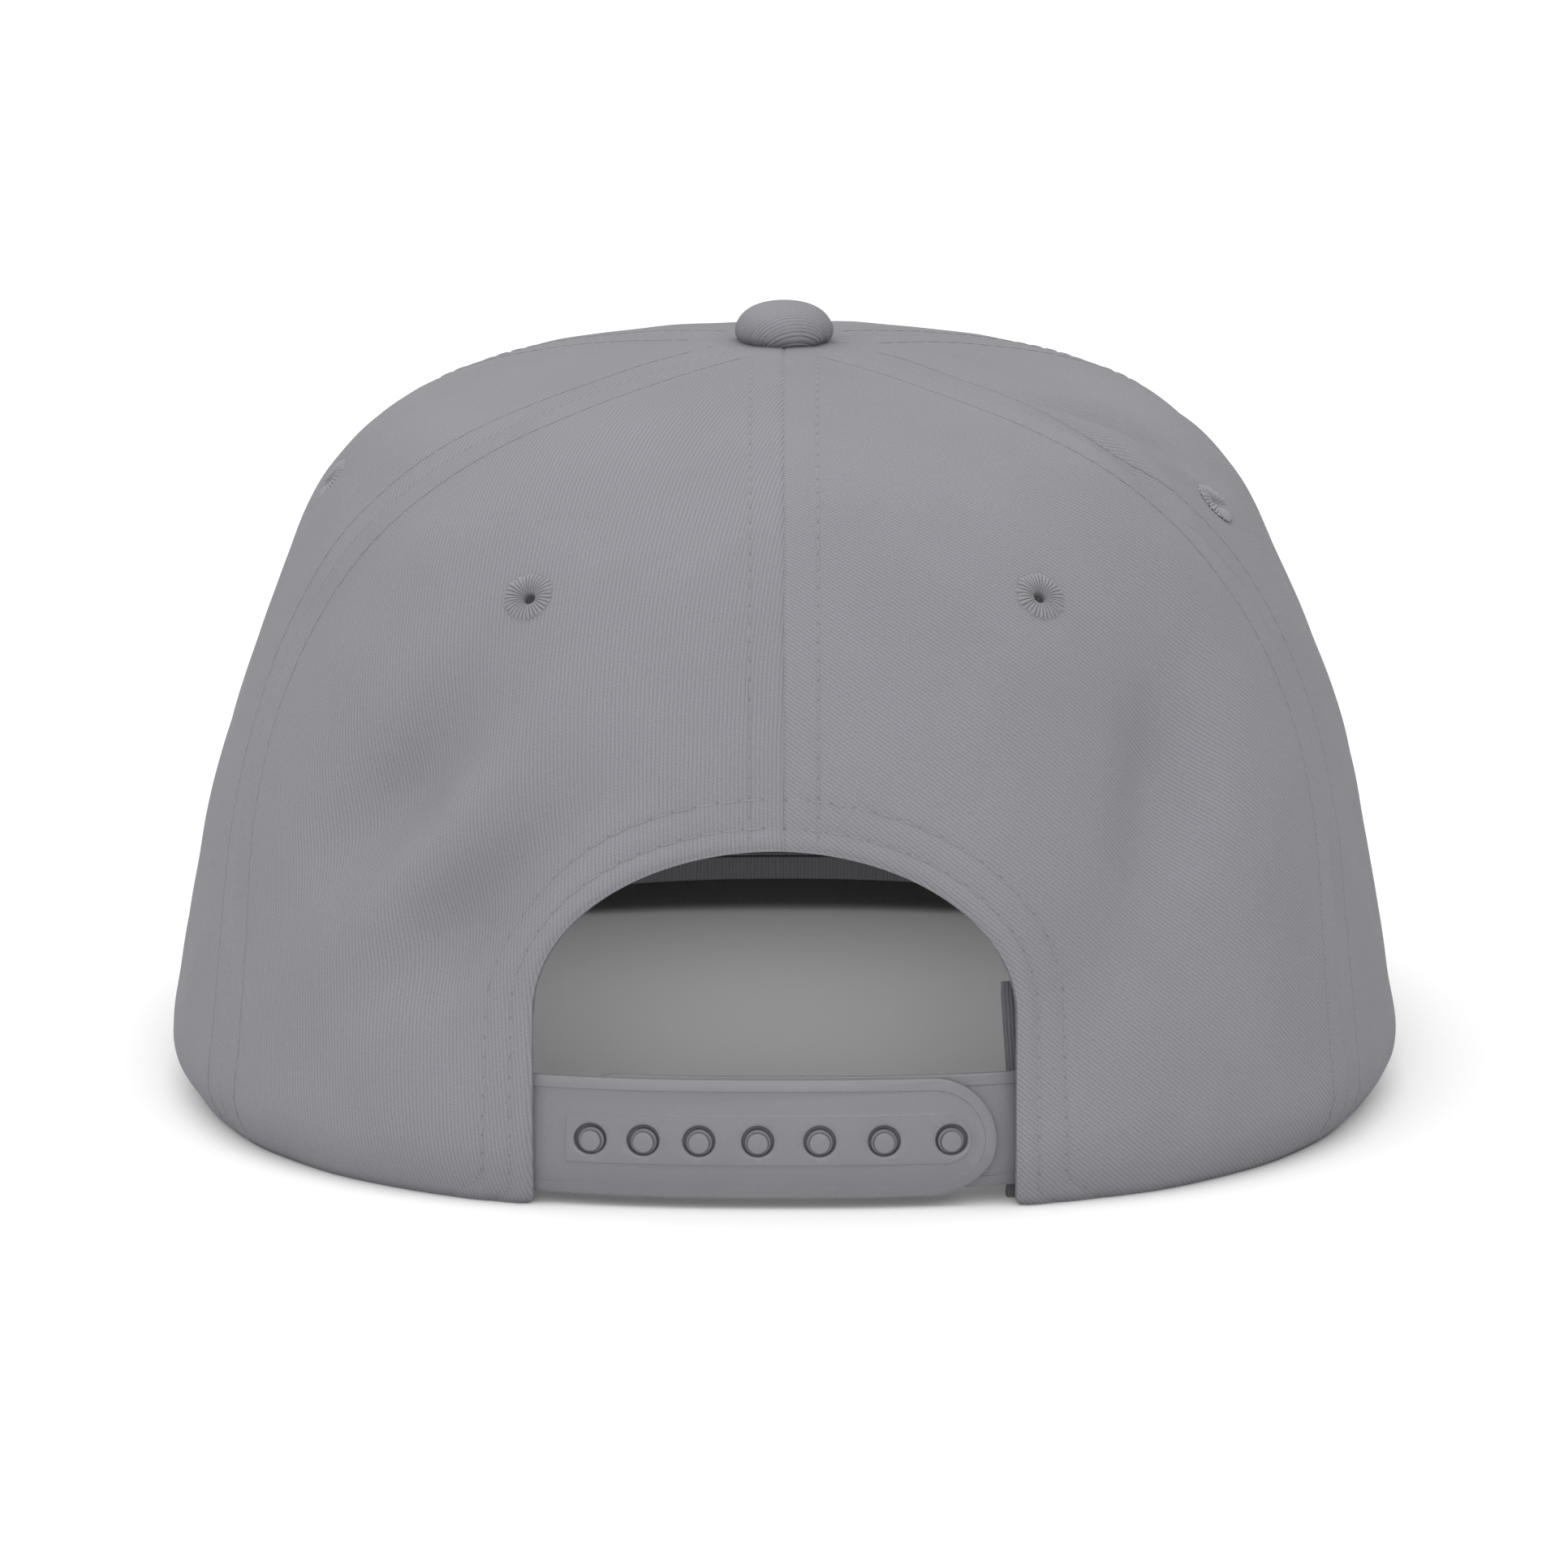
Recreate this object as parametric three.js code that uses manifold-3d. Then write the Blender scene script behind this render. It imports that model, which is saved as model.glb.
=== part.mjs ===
// Snapback cap with a six-panel crown, a flat peak and an open back closed by a snap strap.
// Millimetres and degrees. +Z is up, +Y points from the crown to the peak, +X is the wearer's right.
// An azimuth of 0 is the middle of the back, 90 is the right side and 180 the middle of the front.
import * as THREE from 'three';
import { mergeVertices } from 'three/addons/utils/BufferGeometryUtils.js';
import Module from 'manifold-3d';

const wasm = await Module();
wasm.setup();

// Crown
const crownWidth = 186.4;
const crownBackReach = 95;
const crownFrontReach = 98;
const crownHeight = 113.3;
const crownSquareness = 2.5;
const clothWall = 1.6;
const pieceGap = 0.3;
const sideSeamAzimuth = 61;
const frontSeamAzimuth = 120;
const foldDepth = 5;
// Shares of the climb from rim to top within which the wall stands square and has no folds
const squareFootShare = 0.05;
const plainFootShare = 0.12;
// Length of cloth from rim to top, as a share of the crown's height
const climbShare = 1.25;

// Opening in the back
const archHalfWidth = 35.5;
const archSpringHeight = 28;
const archTopHeight = 52.4;
const archSideShift = -1.4;

// Button on top
const buttonRadius = 7.7;
const buttonHeight = 6.2;
const buttonStemRadius = 2.4;
const buttonStemLength = 4;

// Eyelets
const eyeletRadius = 3.65;
const eyeletHoleRadius = 0.95;
const eyeletRise = 0.5;
const eyeletEdgeShare = 0.3;

// Peak
const peakLength = 68;
const peakWidth = 180;
const peakSquareness = 2.7;
const peakThickness = 3.6;
const peakEdgeRadius = 1.2;
const peakCamber = 6;
const peakCornerAzimuth = 113;
const peakEaseAngle = 22;

// Sweatband
const bandHeight = 33;
const bandWall = 1.4;
const bandClearance = 0.7;
const bandSetbackRight = 0;
const bandSetbackLeft = 1.8;

// Snap strap
const strapHeight = 18.3;
const strapFoot = 1.4;
const strapWall = 1.2;
const strapSewnLength = 20;
const strapEndSetback = 3;
const strapHolePitch = 8.77;
const strapHoleCount = 7;
const strapHoleRadius = 2.35;
const strapHoleShift = -1.9;
const channelHeight = 7.3;
const channelDepth = 0.3;
const channelOverrun = 2.6;
const pegRadius = 1.5;
const pegProud = 0.35;

// Facets
const panelColumns = 12;
const panelRows = 18;
const archSegments = 14;
const bandColumns = 48;
const bandRows = 3;
const strapColumns = 20;
const strapRows = 2;
const peakColumns = 32;
const cutStartShare = 0.3;
const peakRows = 6;
const roundSides = 12;
const buttonSegments = 6;

// Crown profiles, a row for each level from the rim to the top: reach as a share of the crown's
// half-width or reach, and rise as a share of its height.
const sideProfile = [
  { reach: 0.964, rise: 0 },
  { reach: 1.0145, rise: 0.06 },
  { reach: 1.003, rise: 0.15 },
  { reach: 0.974, rise: 0.28 },
  { reach: 0.937, rise: 0.42 },
  { reach: 0.883, rise: 0.555 },
  { reach: 0.814, rise: 0.695 },
  { reach: 0.732, rise: 0.815 },
  { reach: 0.59, rise: 0.915 },
  { reach: 0.31, rise: 0.977 },
  { reach: 0, rise: 1 },
];
const backProfile = [
  { reach: 0.985, rise: 0 },
  { reach: 0.995, rise: 0.06 },
  { reach: 0.985, rise: 0.15 },
  { reach: 0.96, rise: 0.28 },
  { reach: 0.925, rise: 0.42 },
  { reach: 0.875, rise: 0.56 },
  { reach: 0.8, rise: 0.7 },
  { reach: 0.69, rise: 0.82 },
  { reach: 0.52, rise: 0.92 },
  { reach: 0.28, rise: 0.98 },
  { reach: 0, rise: 1 },
];
const frontProfile = [
  { reach: 1, rise: 0 },
  { reach: 1, rise: 0.07 },
  { reach: 1, rise: 0.16 },
  { reach: 0.985, rise: 0.3 },
  { reach: 0.965, rise: 0.45 },
  { reach: 0.925, rise: 0.6 },
  { reach: 0.85, rise: 0.74 },
  { reach: 0.73, rise: 0.85 },
  { reach: 0.54, rise: 0.93 },
  { reach: 0.29, rise: 0.982 },
  { reach: 0, rise: 1 },
];

// Dents and bulges of the cloth: where the middle lies, the half-size across and along the fold as
// shares of the crown's height, the lean of the fold from upright, and how deep it is as a share of
// the fold depth. A bulge has a negative depth.
const folds = [
  { azimuth: -40, level: 0.475, across: 0.08, along: 0.22, lean: -38, depth: 0.7 },
  { azimuth: -29, level: 0.38, across: 0.06, along: 0.2, lean: -52, depth: 0.45 },
  { azimuth: -33, level: 0.3, across: 0.07, along: 0.13, lean: 10, depth: 0.35 },
  { azimuth: 37, level: 0.47, across: 0.12, along: 0.25, lean: -6, depth: 0.5 },
  { azimuth: 79, level: 0.79, across: 0.09, along: 0.32, lean: -62, depth: 0.3 },
  { azimuth: 90, level: 0.72, across: 0.12, along: 0.12, lean: 0, depth: -0.25 },
  { azimuth: 84, level: 0.49, across: 0.2, along: 0.13, lean: 0, depth: -0.25 },
  { azimuth: -84, level: 0.74, across: 0.24, along: 0.2, lean: 0, depth: -0.45 },
  { azimuth: -150, level: 0.4, across: 0.16, along: 0.28, lean: 12, depth: 0.3 },
  { azimuth: 146, level: 0.42, across: 0.14, along: 0.26, lean: -10, depth: 0.3 },
];

const eyelets = [
  { name: 'eyelet_back_left', azimuth: -30.5, level: 0.65 },
  { name: 'eyelet_back_right', azimuth: 30.5, level: 0.65 },
  { name: 'eyelet_side_left', azimuth: -80, level: 0.7 },
  { name: 'eyelet_side_right', azimuth: 76, level: 0.7 },
  { name: 'eyelet_front_left', azimuth: -150, level: 0.68 },
  { name: 'eyelet_front_right', azimuth: 150, level: 0.68 },
];

const panels = [
  { name: 'panel_back_left', from: -sideSeamAzimuth, to: 0 },
  { name: 'panel_back_right', from: 0, to: sideSeamAzimuth },
  { name: 'panel_side_left', from: -frontSeamAzimuth, to: -sideSeamAzimuth },
  { name: 'panel_side_right', from: sideSeamAzimuth, to: frontSeamAzimuth },
  { name: 'panel_front_left', from: -180, to: -frontSeamAzimuth },
  { name: 'panel_front_right', from: frontSeamAzimuth, to: 180 },
];

const materials = {
  twill: new THREE.MeshStandardMaterial({ color: 0x86858a, roughness: 0.9, metalness: 0 }),
  thread: new THREE.MeshStandardMaterial({ color: 0x908f94, roughness: 0.65, metalness: 0 }),
  bandTwill: new THREE.MeshStandardMaterial({ color: 0x6f6e72, roughness: 0.9, metalness: 0 }),
  plastic: new THREE.MeshStandardMaterial({ color: 0x858489, roughness: 0.5, metalness: 0 }),
};

// Solids from closed meshes, and back
function toSolid(geometry) {
  const bare = geometry.clone();
  bare.deleteAttribute('normal');
  bare.deleteAttribute('uv');
  const merged = mergeVertices(bare, 1e-4);
  const vertProperties = new Float32Array(merged.attributes.position.array);
  const triVerts = new Uint32Array(merged.index.array);
  return new wasm.Manifold(new wasm.Mesh({ numProp: 3, vertProperties, triVerts }));
}

function toGeometry(solid) {
  const mesh = solid.getMesh();
  const geometry = new THREE.BufferGeometry();
  geometry.setAttribute('position', new THREE.BufferAttribute(new Float32Array(mesh.vertProperties), 3));
  geometry.setIndex(new THREE.BufferAttribute(new Uint32Array(mesh.triVerts), 1));
  return geometry;
}

function named(name, geometry, material) {
  geometry.deleteAttribute('uv');
  geometry.computeVertexNormals();
  const mesh = new THREE.Mesh(geometry, material);
  mesh.name = name;
  return mesh;
}

// Crown surface
function profileCurve(rows) {
  return new THREE.SplineCurve(rows.map((row) => new THREE.Vector2(row.reach, row.rise)));
}

const sideCurve = profileCurve(sideProfile);
const backCurve = profileCurve(backProfile);
const frontCurve = profileCurve(frontProfile);
const radians = THREE.MathUtils.degToRad;
const smooth = THREE.MathUtils.smoothstep;

function planFactor(sine, cosine, squareness) {
  return (Math.abs(sine) ** squareness + Math.abs(cosine) ** squareness) ** (-1 / squareness);
}

// Height of the peak's upper face over the surface that the cap stands on
function peakTopAt(x) {
  return peakThickness + peakCamber * Math.max(0, 1 - (2 * x / peakWidth) ** 2);
}

// The rim stands at zero at the sides and back, and rises over the peak at the front.
function rimHeight(azimuth, x) {
  const turned = Math.abs(THREE.MathUtils.euclideanModulo(azimuth + 180, 360) - 180);
  const over = smooth(turned, peakCornerAzimuth - peakEaseAngle, peakCornerAzimuth);
  return over * (peakTopAt(x) + 2 * pieceGap);
}

function crownOutline(azimuth, level) {
  const sine = Math.sin(radians(azimuth));
  const cosine = Math.cos(radians(azimuth));
  const sideward = sine * sine;
  const side = sideCurve.getPoint(level);
  const end = (cosine > 0 ? backCurve : frontCurve).getPoint(level);
  const reach = THREE.MathUtils.lerp(end.x, side.x, sideward);
  const rise = THREE.MathUtils.lerp(end.y, side.y, sideward);
  const plan = planFactor(sine, cosine, crownSquareness) * reach;
  const depth = cosine > 0 ? crownBackReach : crownFrontReach;
  const x = plan * sine * crownWidth / 2;
  const foot = rimHeight(azimuth, x) * (1 - rise) ** 3;
  return new THREE.Vector3(x, -plan * cosine * depth, foot + rise * crownHeight);
}

function crownNormal(azimuth, level) {
  const step = 0.01;
  const low = Math.max(0, level - step);
  const high = Math.min(1 - step / 2, level + step);
  const across = crownOutline(azimuth + 1, level).sub(crownOutline(azimuth - 1, level));
  const up = crownOutline(azimuth, high).sub(crownOutline(azimuth, low));
  const normal = across.cross(up).normalize();
  // The rim's foot is cut level, so the wall there runs straight in.
  normal.z *= smooth(level, 0, squareFootShare);
  return normal.normalize();
}

function foldDepthAt(azimuth, level) {
  const girth = Math.PI * (crownWidth / 2 + crownBackReach) / 360;
  const climb = climbShare * crownHeight;
  let depth = 0;
  for (const fold of folds) {
    const turn = THREE.MathUtils.euclideanModulo(azimuth - fold.azimuth + 180, 360) - 180;
    const side = turn * girth;
    const up = (level - fold.level) * climb;
    const lean = radians(fold.lean);
    const across = (side * Math.cos(lean) + up * Math.sin(lean)) / (fold.across * crownHeight);
    const along = (up * Math.cos(lean) - side * Math.sin(lean)) / (fold.along * crownHeight);
    depth += fold.depth * foldDepth * Math.exp(-across * across - along * along);
  }
  return depth * smooth(level, 0, plainFootShare);
}

// A point at a depth below the cloth's outer face
function crownPoint(azimuth, level, depth) {
  const inward = depth + foldDepthAt(azimuth, level);
  return crownOutline(azimuth, level).addScaledVector(crownNormal(azimuth, level), -inward);
}

// Level at which a test of the outline turns true, found by halving
function levelWhere(test) {
  let low = 0;
  let high = 1;
  for (let turn = 0; turn < 30; turn += 1) {
    const middle = (low + high) / 2;
    if (test(middle)) {
      high = middle;
    } else {
      low = middle;
    }
  }
  return high;
}

function levelAtHeight(height) {
  return levelWhere((level) => sideCurve.getPoint(level).y * crownHeight >= height);
}

function levelAtRadius(azimuth, radius) {
  return levelWhere((level) => {
    const point = crownOutline(azimuth, level);
    return Math.hypot(point.x, point.y) <= radius;
  });
}

// A box whose three directions are bent to a place given by shares: across, up and through the wall
function bentBox(columns, rows, place) {
  const geometry = new THREE.BoxGeometry(1, 1, 1, columns, rows, 1);
  const position = geometry.attributes.position;
  for (let index = 0; index < position.count; index += 1) {
    const across = position.getX(index) + 0.5;
    const up = position.getY(index) + 0.5;
    const out = position.getZ(index) + 0.5;
    const point = place(across, up, out);
    position.setXYZ(index, point.x, point.y, point.z);
  }
  return geometry;
}

// Crown panels
const archLeft = archSideShift - archHalfWidth;
const archRight = archSideShift + archHalfWidth;
const crownTopHole = buttonStemRadius + 3 * pieceGap;

function panelBlank({ from, to }) {
  return bentBox(panelColumns, panelRows, (across, up, out) => {
    const plain = THREE.MathUtils.lerp(from, to, across);
    const level = up * levelAtRadius(plain, crownTopHole);
    const girth = crownOutline(plain + 0.5, level).distanceTo(crownOutline(plain - 0.5, level));
    const setback = pieceGap / 2 / girth;
    const azimuth = THREE.MathUtils.lerp(from + setback, to - setback, across);
    return crownPoint(azimuth, level, clothWall * (1 - out));
  });
}

// A flat outline in X and Z made into a solid that runs through the back of the cap
function throughBack(shape, curveSegments) {
  const depth = crownBackReach;
  const geometry = new THREE.ExtrudeGeometry(shape, { depth, bevelEnabled: false, curveSegments });
  geometry.rotateX(Math.PI / 2);
  geometry.translate(0, -crownBackReach * cutStartShare, 0);
  return toSolid(geometry);
}

// Cutter of the back opening: straight sides up to the spring, then half an ellipse
function archCutter() {
  const shape = new THREE.Shape();
  const rise = archTopHeight - archSpringHeight;
  shape.moveTo(archRight, -clothWall);
  shape.lineTo(archRight, archSpringHeight);
  shape.absellipse(archSideShift, archSpringHeight, archHalfWidth, rise, 0, Math.PI, false);
  shape.lineTo(archLeft, -clothWall);
  return throughBack(shape, archSegments);
}

// Turns a shape made along Y so that it stands square on the crown at an eyelet's place
function placeOnCrown(geometry, azimuth, level) {
  const normal = crownNormal(azimuth, level);
  const turn = new THREE.Quaternion().setFromUnitVectors(new THREE.Vector3(0, 1, 0), normal);
  const seat = crownPoint(azimuth, level, 0);
  geometry.applyQuaternion(turn);
  geometry.translate(seat.x, seat.y, seat.z);
  return geometry;
}

function eyeletCutter(eyelet) {
  const length = 6 * clothWall;
  const hole = new THREE.CylinderGeometry(
    eyeletRadius + pieceGap, eyeletRadius + pieceGap, length, roundSides);
  return toSolid(placeOnCrown(hole, eyelet.azimuth, eyelet.level));
}

function panelMesh(panel) {
  let solid = toSolid(panelBlank(panel));
  for (const eyelet of eyelets) {
    if (eyelet.azimuth > panel.from && eyelet.azimuth < panel.to) {
      solid = solid.subtract(eyeletCutter(eyelet));
    }
  }
  if (panel.from === 0 || panel.to === 0) {
    solid = solid.subtract(archCutter());
  }
  return named(panel.name, toGeometry(solid), materials.twill);
}

// Eyelet: a sewn ring through the wall, thickest halfway between its hole and its edge
function eyeletMesh({ name, azimuth, level }) {
  const middle = (eyeletRadius + eyeletHoleRadius) / 2;
  const edgeRise = eyeletRise * eyeletEdgeShare;
  const profile = [
    new THREE.Vector2(eyeletHoleRadius, -clothWall),
    new THREE.Vector2(eyeletRadius, -clothWall),
    new THREE.Vector2(eyeletRadius, edgeRise),
    new THREE.Vector2(middle, eyeletRise),
    new THREE.Vector2(eyeletHoleRadius, edgeRise),
    new THREE.Vector2(eyeletHoleRadius, -clothWall),
  ];
  const ring = new THREE.LatheGeometry(profile, roundSides);
  return named(name, placeOnCrown(ring, azimuth, level), materials.thread);
}

// Button: a covered dome with a stem through the hole where the panels meet
function buttonMesh() {
  const dome = new THREE.EllipseCurve(0, 0, buttonRadius, buttonHeight, 0, Math.PI / 2);
  const profile = [
    new THREE.Vector2(0, -buttonStemLength),
    new THREE.Vector2(buttonStemRadius, -buttonStemLength),
    new THREE.Vector2(buttonStemRadius, 0),
    ...dome.getPoints(buttonSegments),
  ];
  profile[profile.length - 1].x = 0;
  const geometry = new THREE.LatheGeometry(profile, 2 * roundSides);
  geometry.rotateX(Math.PI / 2);
  geometry.translate(0, 0, crownHeight + pieceGap);
  return named('button', geometry, materials.twill);
}

// Peak: a cambered board from under the crown's front rim to a rounded front edge
const bandFace = clothWall + pieceGap + bandWall;

function peakPoint(across, out, through) {
  const sweep = THREE.MathUtils.lerp(-1, 1, across) * 90;
  const sine = Math.sin(radians(sweep));
  const cosine = Math.cos(radians(sweep));
  const corner = crownOutline(peakCornerAzimuth, 0);
  const plan = planFactor(sine, cosine, peakSquareness);
  const frontLength = crownFrontReach + peakLength - corner.y;
  const outer = new THREE.Vector2(plan * sine * peakWidth / 2, corner.y + plan * cosine * frontLength);
  const azimuth = 180 - THREE.MathUtils.lerp(-1, 1, across) * (180 - peakCornerAzimuth);
  const seat = crownOutline(azimuth, 0).addScaledVector(crownNormal(azimuth, 0), -bandFace);
  const inner = new THREE.Vector2(seat.x, seat.y);
  const edge = Math.min(1, (1 - out) / (peakEdgeRadius / peakLength));
  const place = inner.lerp(outer, out);
  const middle = peakTopAt(place.x) - peakThickness / 2;
  const half = peakThickness / 2 * THREE.MathUtils.lerp(0.5, 1, Math.sqrt(edge));
  return new THREE.Vector3(place.x, place.y, middle + (2 * through - 1) * half);
}

function peakMesh() {
  const rowShares = [0, 0.06, 0.3, 0.6, 0.88, 1 - peakEdgeRadius / peakLength, 1];
  const geometry = bentBox(peakColumns, peakRows, (across, up, out) => {
    return peakPoint(across, rowShares[Math.round(up * peakRows)], out);
  });
  return named('peak', geometry, materials.twill);
}

// Azimuth of the crown's rim where it passes a sideways place at the back
function backAzimuthAt(x) {
  let low = -90;
  let high = 90;
  for (let turn = 0; turn < 30; turn += 1) {
    const middle = (low + high) / 2;
    if (crownOutline(middle, 0).x > x) {
      high = middle;
    } else {
      low = middle;
    }
  }
  return (low + high) / 2;
}

const outerStrapDepth = clothWall + pieceGap;
const innerStrapDepth = outerStrapDepth + strapWall + pieceGap;
const bandDepthSides = clothWall + pieceGap;
const bandDepthLeft = outerStrapDepth + strapWall + bandClearance;
const bandDepthRight = innerStrapDepth + strapWall + bandClearance;

// Sweatband: from one side of the opening round the front to the other, and behind both straps
function bandMesh() {
  const start = backAzimuthAt(archRight + bandSetbackRight);
  const finish = backAzimuthAt(archLeft - bandSetbackLeft) + 360;
  // The band keeps clear of the straps for one column past their ends, then eases out to the wall.
  const column = (finish - start) / bandColumns;
  const strapEndRight = backAzimuthAt(archRight + strapSewnLength) + column;
  const strapEndLeft = backAzimuthAt(archLeft - strapSewnLength) + 360 - column;
  const topLevel = levelAtHeight(bandHeight);
  const geometry = bentBox(bandColumns, bandRows, (across, up, out) => {
    const azimuth = THREE.MathUtils.lerp(start, finish, across);
    const right = 1 - smooth(azimuth, strapEndRight, strapEndRight + column);
    const left = smooth(azimuth, strapEndLeft - column, strapEndLeft);
    const face = bandDepthSides + right * (bandDepthRight - bandDepthSides)
      + left * (bandDepthLeft - bandDepthSides);
    return crownPoint(azimuth, up * topLevel, face + bandWall * (1 - out));
  });
  return named('sweatband', geometry, materials.bandTwill);
}

// Straps: bands bent round the back at a depth under the cloth's outer face
function strapBlank(fromX, toX, footZ, height, depth, wall) {
  const from = backAzimuthAt(fromX);
  const to = backAzimuthAt(toX);
  return toSolid(bentBox(strapColumns, strapRows, (across, up, out) => {
    const azimuth = THREE.MathUtils.lerp(from, to, across);
    return crownPoint(azimuth, levelAtHeight(footZ + up * height), depth + wall * (1 - out));
  }));
}

// Outline with one full round end, which points away from the root
function roundEnded(rootX, endX, footZ, height) {
  const radius = height / 2;
  const side = Math.sign(endX - rootX);
  const shape = new THREE.Shape();
  shape.moveTo(rootX, footZ);
  shape.lineTo(endX - side * radius, footZ);
  shape.absarc(endX - side * radius, footZ + radius, radius, -Math.PI / 2, Math.PI / 2, side < 0);
  shape.lineTo(rootX, footZ + height);
  return throughBack(shape, roundSides / 2);
}

function snapPlaces() {
  const places = [];
  for (let index = 0; index < strapHoleCount; index += 1) {
    places.push(strapHoleShift + (index - (strapHoleCount - 1) / 2) * strapHolePitch);
  }
  return places;
}

const snapHeight = strapFoot + strapHeight / 2;
const outerStrapEnd = archRight - strapEndSetback;
const innerStrapEnd = archLeft + strapEndSetback;

function outerStrapMesh() {
  const root = archLeft - strapSewnLength;
  const blank = strapBlank(root, outerStrapEnd, strapFoot, strapHeight, outerStrapDepth, strapWall);
  let solid = blank.intersect(roundEnded(root - strapWall, outerStrapEnd, strapFoot, strapHeight));
  const places = snapPlaces();
  const channelFrom = places[0] - strapHoleRadius - channelOverrun / 2;
  const channelTo = places[places.length - 1] + strapHoleRadius + channelOverrun;
  const channelFoot = snapHeight - channelHeight / 2;
  const skin = strapBlank(channelFrom, channelTo, channelFoot, channelHeight,
    outerStrapDepth - pieceGap, channelDepth + pieceGap);
  solid = solid.subtract(skin.intersect(roundEnded(channelFrom - strapWall, channelTo, channelFoot, channelHeight)));
  for (const x of places) {
    const hole = new THREE.Shape();
    hole.absarc(x, snapHeight, strapHoleRadius, 0, Math.PI * 2);
    solid = solid.subtract(throughBack(hole, roundSides / 2));
  }
  return named('strap_holes', toGeometry(solid), materials.plastic);
}

function innerStrapMesh() {
  const root = archRight + strapSewnLength;
  const blank = strapBlank(innerStrapEnd, root, strapFoot, strapHeight, innerStrapDepth, strapWall);
  let solid = blank.intersect(roundEnded(root + strapWall, innerStrapEnd, strapFoot, strapHeight));
  const pegLength = strapWall / 2 + pieceGap + strapWall - channelDepth + pegProud;
  for (const x of snapPlaces()) {
    const azimuth = backAzimuthAt(x);
    const normal = crownNormal(azimuth, 0);
    const face = crownOutline(azimuth, 0).addScaledVector(normal, -innerStrapDepth);
    const peg = new THREE.CylinderGeometry(pegRadius, pegRadius, pegLength, roundSides);
    peg.applyQuaternion(new THREE.Quaternion().setFromUnitVectors(new THREE.Vector3(0, 1, 0), normal));
    const reach = pegLength / 2 - strapWall / 2;
    peg.translate(face.x + normal.x * reach, face.y + normal.y * reach, snapHeight);
    solid = solid.add(toSolid(peg));
  }
  return named('strap_pegs', toGeometry(solid), materials.plastic);
}

// The origin lies on the surface that the cap stands on, under the middle of its length.
const cap = new THREE.Group();
cap.name = 'snapback_cap';
const strapBack = crownPoint(0, levelAtHeight(snapHeight), outerStrapDepth);
cap.position.y = -(strapBack.y + crownFrontReach + peakLength) / 2;
cap.add(...panels.map(panelMesh));
cap.add(buttonMesh());
cap.add(...eyelets.map(eyeletMesh));
cap.add(peakMesh());
cap.add(bandMesh());
cap.add(outerStrapMesh());
cap.add(innerStrapMesh());

export default cap;
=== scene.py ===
"""Snapback cap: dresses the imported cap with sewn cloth, thread and a moulded strap, on a pale floor."""
import math

import bmesh
import bpy
import numpy as np
from bpy.props import FloatProperty, FloatVectorProperty, IntProperty, PointerProperty
from mathutils import Matrix, Vector


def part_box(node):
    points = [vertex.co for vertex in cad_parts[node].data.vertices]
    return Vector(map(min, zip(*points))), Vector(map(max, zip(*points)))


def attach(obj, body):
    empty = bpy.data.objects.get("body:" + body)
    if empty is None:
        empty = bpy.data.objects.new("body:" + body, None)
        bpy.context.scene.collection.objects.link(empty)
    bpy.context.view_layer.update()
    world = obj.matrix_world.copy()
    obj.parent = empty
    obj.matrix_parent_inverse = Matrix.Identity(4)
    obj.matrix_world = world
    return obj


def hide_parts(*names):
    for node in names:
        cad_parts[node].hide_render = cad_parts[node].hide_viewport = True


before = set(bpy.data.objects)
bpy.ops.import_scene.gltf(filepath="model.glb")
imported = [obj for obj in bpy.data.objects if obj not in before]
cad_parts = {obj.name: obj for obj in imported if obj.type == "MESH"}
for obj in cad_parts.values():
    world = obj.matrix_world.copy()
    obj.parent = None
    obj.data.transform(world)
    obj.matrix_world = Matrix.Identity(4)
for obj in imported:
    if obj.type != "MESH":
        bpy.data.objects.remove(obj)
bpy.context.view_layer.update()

bl_info = {
    "name": "Snapback Cap",
    "version": (1, 0, 0),
    "blender": (4, 5, 0),
    "location": "3D View > Sidebar > Cap",
    "description": "A six-panel cotton cap with a flat peak and a snap strap",
    "category": "Add Mesh",
}

MM = 0.001

# The button stands over the middle of the crown.
BUTTON_LOW, BUTTON_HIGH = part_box("button")
CROWN_Y = (BUTTON_LOW.y + BUTTON_HIGH.y) / 2

# Crown profiles, a row for each level from the rim to the top: reach as a share of the crown's
# half-width or reach, and rise as a share of its height
SIDE_PROFILE = (
    {"reach": 0.964, "rise": 0.0},
    {"reach": 1.0145, "rise": 0.06},
    {"reach": 1.003, "rise": 0.15},
    {"reach": 0.974, "rise": 0.28},
    {"reach": 0.937, "rise": 0.42},
    {"reach": 0.883, "rise": 0.555},
    {"reach": 0.814, "rise": 0.695},
    {"reach": 0.732, "rise": 0.815},
    {"reach": 0.59, "rise": 0.915},
    {"reach": 0.31, "rise": 0.977},
    {"reach": 0.0, "rise": 1.0},
)
BACK_PROFILE = (
    {"reach": 0.985, "rise": 0.0},
    {"reach": 0.995, "rise": 0.06},
    {"reach": 0.985, "rise": 0.15},
    {"reach": 0.96, "rise": 0.28},
    {"reach": 0.925, "rise": 0.42},
    {"reach": 0.875, "rise": 0.56},
    {"reach": 0.8, "rise": 0.7},
    {"reach": 0.69, "rise": 0.82},
    {"reach": 0.52, "rise": 0.92},
    {"reach": 0.28, "rise": 0.98},
    {"reach": 0.0, "rise": 1.0},
)
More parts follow.
